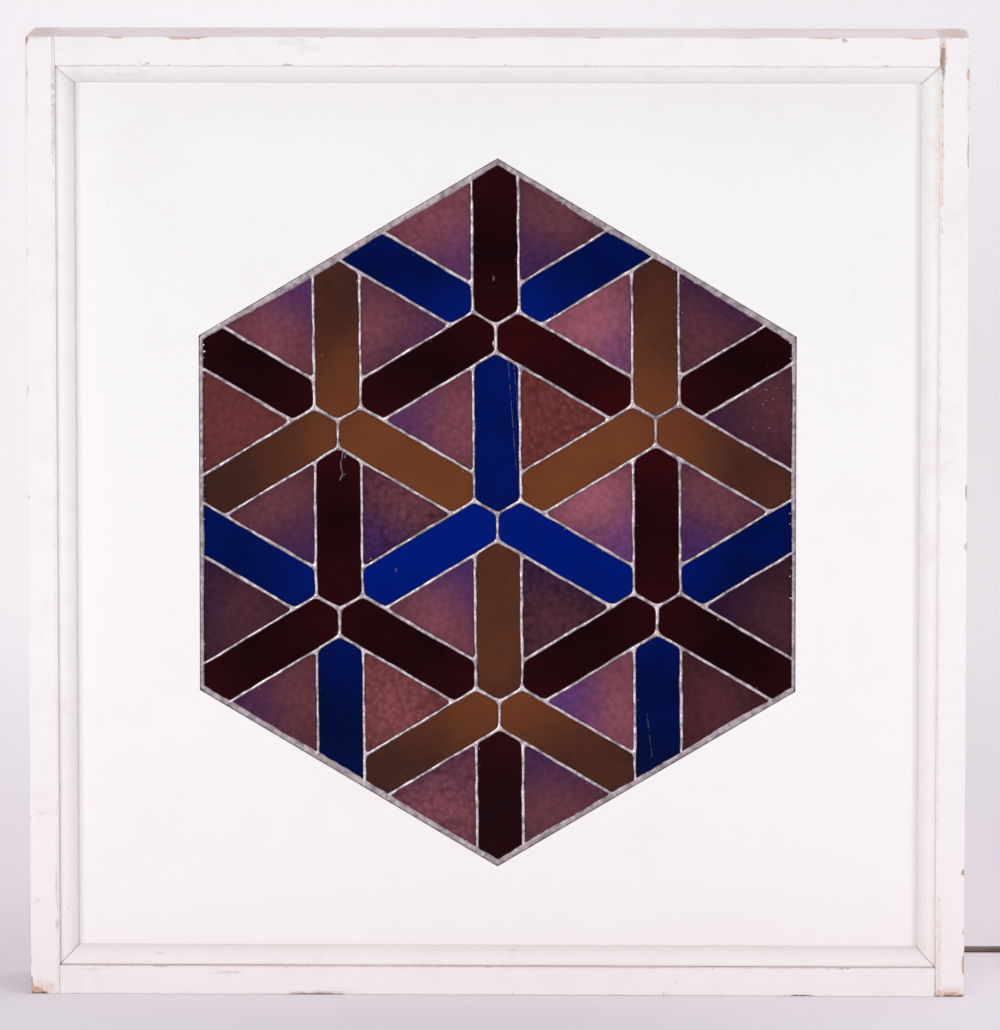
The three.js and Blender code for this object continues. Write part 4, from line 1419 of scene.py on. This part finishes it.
# Drops thrown at random: the first that fall beside seams or in the strewn patch stay as spatter, the
# first that fall on the border stay as lumps.
def addSpatter():
    rng = np.random.default_rng(12)
    reach = np.array(spatter["reach"])
    spots = rng.uniform(-reach, reach, (spatter["tries"], 2))
    seam, rim = seamField(spots)
    near, patch, lump = spatter["beside"], spatter["strewn"], spatter["lumps"]
    beside = (seam > near["seam"][0]) & (seam < near["seam"][1]) & (rim > near["rim"])
    strewn = (np.abs(spots - patch["at"]) / patch["reach"]).max(1) < 1
    strewn &= seam > patch["seam"]
    small = np.concatenate([np.flatnonzero(beside)[:near["count"]], np.flatnonzero(strewn)[:patch["count"]]])
    onBorder = (np.abs(rim - lump["rim"]) < lump["within"]) & (seam < 60)
    low = spots[:, 1] <= lump["lowBelow"]
    large = np.concatenate([np.flatnonzero(onBorder & ~low)[:lump["count"]],
                            np.flatnonzero(onBorder & low)[:lump["lowCount"]]])
    chosen = np.concatenate([small, large])
    radius = rng.uniform(*spatter["radius"], len(chosen))
    radius[len(small):] = rng.uniform(*spatter["lumpRadius"], len(large))
    wide, high = rng.uniform(0.8, 1.5, len(chosen)), rng.uniform(0.8, 1.4, len(chosen))
    sizes = radius[:, None] * np.stack([wide, high, np.full(len(chosen), 0.8)], -1)
    level = np.full(len(chosen), glass["thick"] / 2 - spatter["sink"])
    level[len(small):] += spatter["lumpLift"]
    hanging = len(spatter["hanging"])
    places = np.vstack([spots[chosen], spatter["hanging"]])
    sizes = np.vstack([sizes, spatter["hangingSizes"]])
    return addDrops("solder_spatter", places, sizes, np.append(level, [spatter["hangingLevel"]] * hanging))


addWebs()
addSpatter()
print("solder is laid")


# A round tube carried along a line, its thickness given at each point, closed by a pole at each end.
def addTube(name, line, radii, sides, material):
    line = np.asarray(line, float)
    ahead = np.gradient(line, axis=0)
    ahead /= np.linalg.norm(ahead, axis=1)[:, None]
    up = np.array([0.0, 0.0, 1.0]) if abs(ahead[:, 2]).max() < 0.95 else np.array([0.0, 1.0, 0.0])
    side = np.cross(up, ahead)
    side /= np.linalg.norm(side, axis=1)[:, None]
    over = np.cross(ahead, side)
    angles = (np.arange(sides) * tau / sides)[None, :, None]
    radii = np.broadcast_to(radii, len(line))[:, None, None]
    rings = line[:, None] + radii * (side[:, None] * np.cos(angles) + over[:, None] * np.sin(angles))
    points, faces = skinOf(rings, line[0], line[-1])
    return addMesh(name, points, faces, material)


# A thread of solder that ran down over the garnet glass, with a hook and a short stub: each one's line,
# and its radius at the start and at the end.
drips = {
    "main": {"line": [(-101.6, 41.5, 2.2), (-101.9, 37.5, 2.0), (-102.9, 33.6, 2.0), (-102.5, 29.6, 2.0),
                      (-101.7, 26.2, 2.0), (-103.0, 23.6, 2.0), (-103.6, 21.6, 2.1)],
             "radius": (0.45, 0.95)},
    "hook": {"line": [(-102.6, 24.4, 2.0), (-101.4, 25.0, 2.0), (-100.3, 25.7, 2.05), (-99.6, 26.6, 2.1)],
             "radius": (0.36, 0.22)},
    "stub": {"line": [(-99.9, 41.3, 2.2), (-99.8, 38.9, 2.1), (-100.4, 36.4, 2.0)], "radius": (0.42, 0.5)},
}
for label, drip in drips.items():
    line = standUp(smoothLine(drip["line"], 0.35))
    start, end = drip["radius"]
    t = np.linspace(0, 1, len(line))
    radii = start + (end - start) * t**4 + 0.06 * np.sin(17 * t)   # it gathers at its end
    radii[-3:] *= (0.9, 0.65, 0.3)
    standFor(addTube("solder_thread_" + label, line, radii, 10, solderMetal), "solder")


# Colours of the plastics, clouded from dark to light and soiled, and how fine that is.
plastics = {
    "brownFlex": {"dark": (0.150, 0.104, 0.080), "light": (0.260, 0.190, 0.150),
                  "soiled": (0.30, 0.26, 0.22), "clouds": (60.0, 900.0), "grime": (60.0, 0.5),
                  "roughness": 0.34, "bump": (0.15, 0.0003)},
    "brownMouldedPlastic": {"dark": (0.075, 0.045, 0.032), "light": (0.125, 0.080, 0.058),
                            "soiled": (0.24, 0.20, 0.17), "clouds": (40.0, 1400.0), "grime": (90.0, 0.35),
                            "roughness": 0.40, "bump": (0.2, 0.0002)},
}


def makePlastic(name):
    values = plastics[name]
    material, tree, shader, where = newMaterial(name)
    broad, fine = values["clouds"]
    scale, amount = values["grime"]
    uneven = useGroup(tree, "uneven", where, {"Broad": broad, "Fine": fine})
    grime = useGroup(tree, "grime", where, {"Scale": scale, "Amount": amount})
    color = mixColors(tree, uneven["Shade"], values["dark"], values["light"])
    color = mixColors(tree, grime["Mask"], color, values["soiled"])
    setSurface(tree, shader, color, values["roughness"], uneven["Shade"], 0.2)
    bumpInto(tree, shader, uneven["Height"], *values["bump"])
    return material


plugMetal = {"light": (0.78, 0.60, 0.30), "dark": (0.60, 0.43, 0.20), "soiled": (0.22, 0.14, 0.08)}


# Brass with fine strokes along the blade.
def makeBrass():
    material, tree, shader, where = newMaterial("plugBrass")
    strokes = useGroup(tree, "strokes", where, {"Squeeze": (1, 0.1, 1), "Scale": 2600.0})
    grime = useGroup(tree, "grime", where, {"Scale": 300.0, "Amount": 0.6})
    color = mixColors(tree, strokes["Shade"], plugMetal["light"], plugMetal["dark"])
    color = mixColors(tree, grime["Mask"], color, plugMetal["soiled"])
    setSurface(tree, shader, color, 0.22, strokes["Shade"], 0.25)
    shader.inputs["Metallic"].default_value = 1.0
    bumpInto(tree, shader, strokes["Height"], 0.1, 0.0001)
    return material


flexMatter, moulded, brass = makePlastic("brownFlex"), makePlastic("brownMouldedPlastic"), makeBrass()

flex = {
    "diameter": 4.0,
    "rest": 2.1,            # height of the middle of the cord on the floor
    "step": 1.8,
    "sides": 14,
    "coil": {"x": 382, "y": 102.2, "layers": 4, "turns": 2.625, "spacing": 4.3, "middle": 22.45,
             "perTurn": 48},
    "lead": [
        (238, 68.8, 27), (238, 76, 26.8), (238.5, 85.5, 25.7), (240.4, 96, 23.2),
        (244.9, 107, 19.2), (252.1, 116.6, 14.8), (261.5, 124, 10.4), (272.6, 128.5, 6.6),
        (284.6, 130.1, 4), (297, 130.3, 2.6), (309.5, 130.3, 2.1), (326, 130.2, 2.1),
        (346, 130.25, 2.1), (365.5, 130.29, 2.1),
    ],
    "tail": [(73, 12.2), (60, 8.2), (47, 5.2), (32.3, 4.5)],
}


# A flat spiral in each layer, in and out by turns, with a quarter turn of rise between layers.
def coilLine(coil, rest):
    reach = coil["turns"] * coil["spacing"] / 2
    outer, inner = coil["middle"] + reach, coil["middle"] - reach
    angles, radii, heights = [], [], []
    angle = math.pi / 2
    for layer in range(coil["layers"]):
        low = rest + layer * coil["spacing"]
        t = np.linspace(0, 1, int(coil["turns"] * coil["perTurn"]), endpoint=False)
        start, end = (outer, inner) if layer % 2 == 0 else (inner, outer)
        angles.append(angle - t * coil["turns"] * tau)
        radii.append(start + (end - start) * t)
        heights.append(np.full(len(t), low))
        angle -= coil["turns"] * tau
        if layer < coil["layers"] - 1:
            t = np.linspace(0, 1, coil["perTurn"] // 4, endpoint=False)
            angles.append(angle - t * math.pi / 2)
            radii.append(np.full(len(t), end))
            heights.append(low + coil["spacing"] * (0.5 - 0.5 * np.cos(math.pi * t)))
            angle -= math.pi / 2
    a, r, z = (np.concatenate(values) for values in (angles, radii, heights))
    return np.column_stack([coil["x"] + r * np.cos(a), coil["y"] + r * np.sin(a), z])


# The flex as one tube: lead, coil and tail on one smooth line, and how long that line is.
def addFlex():
    coil = flex["coil"]
    turns = coilLine(coil, flex["rest"])
    outer = coil["x"] + coil["middle"] + coil["turns"] * coil["spacing"] / 2
    tail = [(outer, coil["y"], turns[-1][2])] + [(outer, y, z) for y, z in flex["tail"]]
    route = smoothLine(np.vstack([flex["lead"], turns, tail]), flex["step"])
    length = np.linalg.norm(np.diff(route, axis=0), axis=1).sum()
    cord = addTube("flex", route, flex["diameter"] / 2, flex["sides"], flexMatter)
    standFor(cord, "flex", "cord_lead", "cord_coil", "cord_tail")
    print(f"flex is {length / 1000:.2f} m long")
    return cord, route, length


relief = {
    "foot": 3.4,            # radius inside the box, in the panel's hole and of the collar outside
    "neck": 3.95,
    "collar": 7.5,
    "collarEnd": 3.3,       # out from the panel
    "sleeve": 4.6,          # radius of the sleeve, and what it has lost at its tip
    "taper": 1.7,
    "tip": 2.5,
    "ribs": 5.5,
    "ribDepth": 0.35,
    "rows": (0, 0.3, 0.31, 1.5, 2.4, 3.2),
    "sleeveRows": 60,
    "sides": 40,
}


# The strain relief: circles along Y. The sleeve tapers evenly and has square ribs where a sine is high;
# the collar is rounded off by a power of the distance from the panel.
def addRelief():
    low, high = boxOf("strain_relief")
    middle = (low + high) / 2
    tip, back = high[1], boxOf("back_panel")[1][1]
    sleeve = np.linspace(back + 3.6, tip - 0.6, relief["sleeveRows"])
    y = np.concatenate([[low[1], low[1]], back + np.array(relief["rows"]), sleeve, [tip, tip]])
    t = np.clip((y - back - 3.2) / (tip - back - 3.2), 0, 1)
    ribs = (np.sin(t * tau * relief["ribs"]) > 0.2) * (t > 0.02) * (t < 0.97)
    radius = relief["sleeve"] - relief["taper"] * t - relief["ribDepth"] * ribs
    inHole = y < back + 0.305
    rounding = np.clip(y - back - 1.4, 0, 3) ** 1.6 * 0.75
    radius = np.where(y < back + relief["collarEnd"], relief["collar"] - rounding, radius)
    radius = np.where(inHole, relief["neck"], radius)
    radius[0], radius[-1] = relief["foot"], relief["tip"]
    line = np.column_stack([np.full(len(y), middle[0]), y, np.full(len(y), middle[2])])
    angles = (np.arange(relief["sides"]) * tau / relief["sides"])[None, :, None]
    around = np.array([1.0, 0, 0]) * np.cos(angles) + np.array([0, 0, 1.0]) * np.sin(angles)
    points, faces = skinOf(line[:, None] + radius[:, None, None] * around, line[0], line[-1])
    piece = addMesh("strain_relief_ribbed", points, faces, moulded, facing=-1)
    return standFor(piece, "moulded_rubber", "strain_relief")


plug = {
    "neck": 4.5,            # half width where the cord goes in, and what it gains towards the blades
    "gain": 5.0,
    "gainOver": (0.05, 0.62),
    "thin": (0.62, 0.38),   # share of the height at the cord, and what it gains
    "ribs": 14,
    "ribDepth": 0.45,
    "ribsFrom": (0.2, 0.26),    # shares of the length
    "ribsTo": (0.60, 0.66),
    "rounding": 0.03,
    "square": 0.42,         # power of the section, 1 for an oval and 0 for a box
    "rows": 90,
    "sides": 48,
}


# An oval squared off by a power below 1, by the angles round it.
def squaredOval(angles, power):
    c, s = np.cos(angles), np.sin(angles)
    return np.sign(c) * np.abs(c) ** power, np.sign(s) * np.abs(s) ** power


# The plug's body: squared ovals along Y that widen by an eased step, with grip ribs and rounded ends.
def addPlug():
    low, high = boxOf("plug_body")
    middle = (low + high) / 2
    sides = plug["sides"]
    t = np.concatenate([[0, 0.004, 0.015], np.linspace(0.03, 0.97, plug["rows"]), [0.985, 0.996, 1]])
    ribs = (np.sin(t * tau * plug["ribs"]) > 0.1) * smoothStep(*plug["ribsFrom"], t)
    ribs = plug["ribDepth"] * ribs * (1 - smoothStep(*plug["ribsTo"], t))
    wide = plug["neck"] + plug["gain"] * smoothStep(*plug["gainOver"], t) - ribs
    least, gain = plug["thin"]
    tall = (high[2] - low[2]) / 2 * (least + gain * smoothStep(0.0, 0.5, t))
    fromEnd = np.minimum(1, np.minimum(t, 1 - t) / plug["rounding"])
    end = np.sqrt(np.clip(1 - (1 - fromEnd) ** 2, 0.2, 1))
    wide, tall = wide * (0.93 + 0.07 * end), tall * (0.88 + 0.12 * end)
    shapeX, shapeZ = squaredOval(np.arange(sides) * tau / sides, plug["square"])
    y = np.broadcast_to((high[1] - t * (high[1] - low[1]))[:, None], (len(t), sides))
    rings = np.stack([middle[0] + wide[:, None] * shapeX, y, middle[2] + tall[:, None] * shapeZ], -1)
    points, faces = skinOf(rings, [middle[0], high[1], middle[2]], [middle[0], low[1], middle[2]])
    return standFor(addMesh("plug_moulded", points, faces, moulded), "moulded_rubber", "plug_body")


blade = {
    "power": 0.28,     # of its squared outline
    "hole": 1.6,       # radius, and how far its middle is from the tip
    "holeAt": 4.0,
    "sides": 64,
    "rings": ((0.0, 0.6), (0.04, 0.95), (0.3, 1), (0.7, 1), (0.99, 1), (1, 0.9)),  # way to the hole, level
}


# A blade with a rounded tip and a hole in it: rings run from the outline to the hole, over and back under.
def addBlade(node):
    low, high = boxOf(node)
    half, middle = (high - low) / 2, (low + high) / 2
    sides = blade["sides"]
    angles = np.arange(sides) * tau / sides
    outer = np.stack(squaredOval(angles, blade["power"]), -1) * half[1:]
    hole = blade["hole"] * np.stack([np.cos(angles), np.sin(angles)], -1) + (blade["holeAt"] - half[1], 0)
    under = [(share, -level) for share, level in blade["rings"][::-1]]
    share, level = np.array([*blade["rings"], *under]).T[..., None]
    flat = outer + (hole - outer) * share[..., None]
    across = np.broadcast_to(level * half[0], (len(level), sides))
    rings = np.concatenate([across[..., None], flat], -1) + middle
    quads = ringQuads(len(rings) + 1, sides) % (len(rings) * sides)
    piece = addMesh(node + "_brass", rings.reshape(-1, 3), quads.tolist(), brass)
    return standFor(piece, "blade_brass", node)


cord, route, cordLength = addFlex()
plugParts = [addPlug(), addBlade("plug_blade_near"), addBlade("plug_blade_far"), addRelief()]


# The panel's smoother paint: painted shadow beside the mouldings, painted shade towards the ground, with
# fine specks.
def makePlainPaint():
    material, tree, shader, where = newMaterial("panelCoat")
    uneven = useGroup(tree, "uneven", where, {"Broad": 7.0, "Fine": 220.0})
    strokes = useGroup(tree, "strokes", where, {"Squeeze": (0.3, 1, 0.3), "Scale": 240.0})
    grime = useGroup(tree, "grime", where, {"Scale": 9.0, "Amount": 0.18})
    specks = useGroup(tree, "specks", where, {"Squeeze": (1, 1, 1), "Scale": 55.0, "Size": 0.03})
    values = paint["panel"]
    color = layOver(tree, values["color"], uneven["Shade"], 0.08, values["aged"])
    color = mixColors(tree, grime["Mask"], color, values["aged"])
    split = addNode(tree, "ShaderNodeSeparateXYZ", {0: where})
    # Painted shade: the panel darkens towards the ground, where less light falls.
    low = easeDown(tree, split.outputs["Z"], *paint["lowShadeFrom"])
    color = layOver(tree, color, low, 0.36, paint["lowShadeTint"])
    # Painted shadow on the panel beside the side mouldings.
    beside = easeBetween(tree, maths(tree, "ABSOLUTE", split.outputs["X"]), *values["shadeBesideFrom"])
    color = layOver(tree, color, beside, 0.45, paint["lowShadeTint"])
    color = layOver(tree, color, specks["Mask"], 0.35, paint["speck"])
    setSurface(tree, shader, color, values["roughness"], uneven["Shade"], 0.12)
    bumpInto(tree, shader, strokes["Height"], 0.06, 0.0004)
    return material


plywood = {
    "pale": (0.56, 0.40, 0.24, 1),
    "deep": (0.40, 0.25, 0.13, 1),
    "worn": (0.34, 0.24, 0.15),
    "soiled": (0.20, 0.15, 0.11),
}


# Bare plywood: broad slow grain, worn and soiled in clouds.
def makePlywood():
    material, tree, shader, where = newMaterial("backPlywood")
    wood = useGroup(tree, "softwood", where, {"Squeeze": (0.35, 1, 0.02),
                                       "Pale": plywood["pale"], "Deep": plywood["deep"]})
    grime = useGroup(tree, "grime", where, {"Scale": 7.0, "Amount": 0.5})
    uneven = useGroup(tree, "uneven", where, {"Broad": 5.0, "Fine": 500.0})
    color = layOver(tree, wood["Color"], uneven["Shade"], 0.35, plywood["worn"])
    color = mixColors(tree, grime["Mask"], color, plywood["soiled"])
    setSurface(tree, shader, color, 0.55, uneven["Shade"], 0.25)
    bumpInto(tree, shader, wood["Height"], 0.2, 0.0003)
    return material


def dressNode(name, material):
    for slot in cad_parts[name].material_slots:
        slot.material = material


dressNode("front_panel", makePlainPaint())
dressNode("back_panel", makePlywood())
print("everything is dressed")
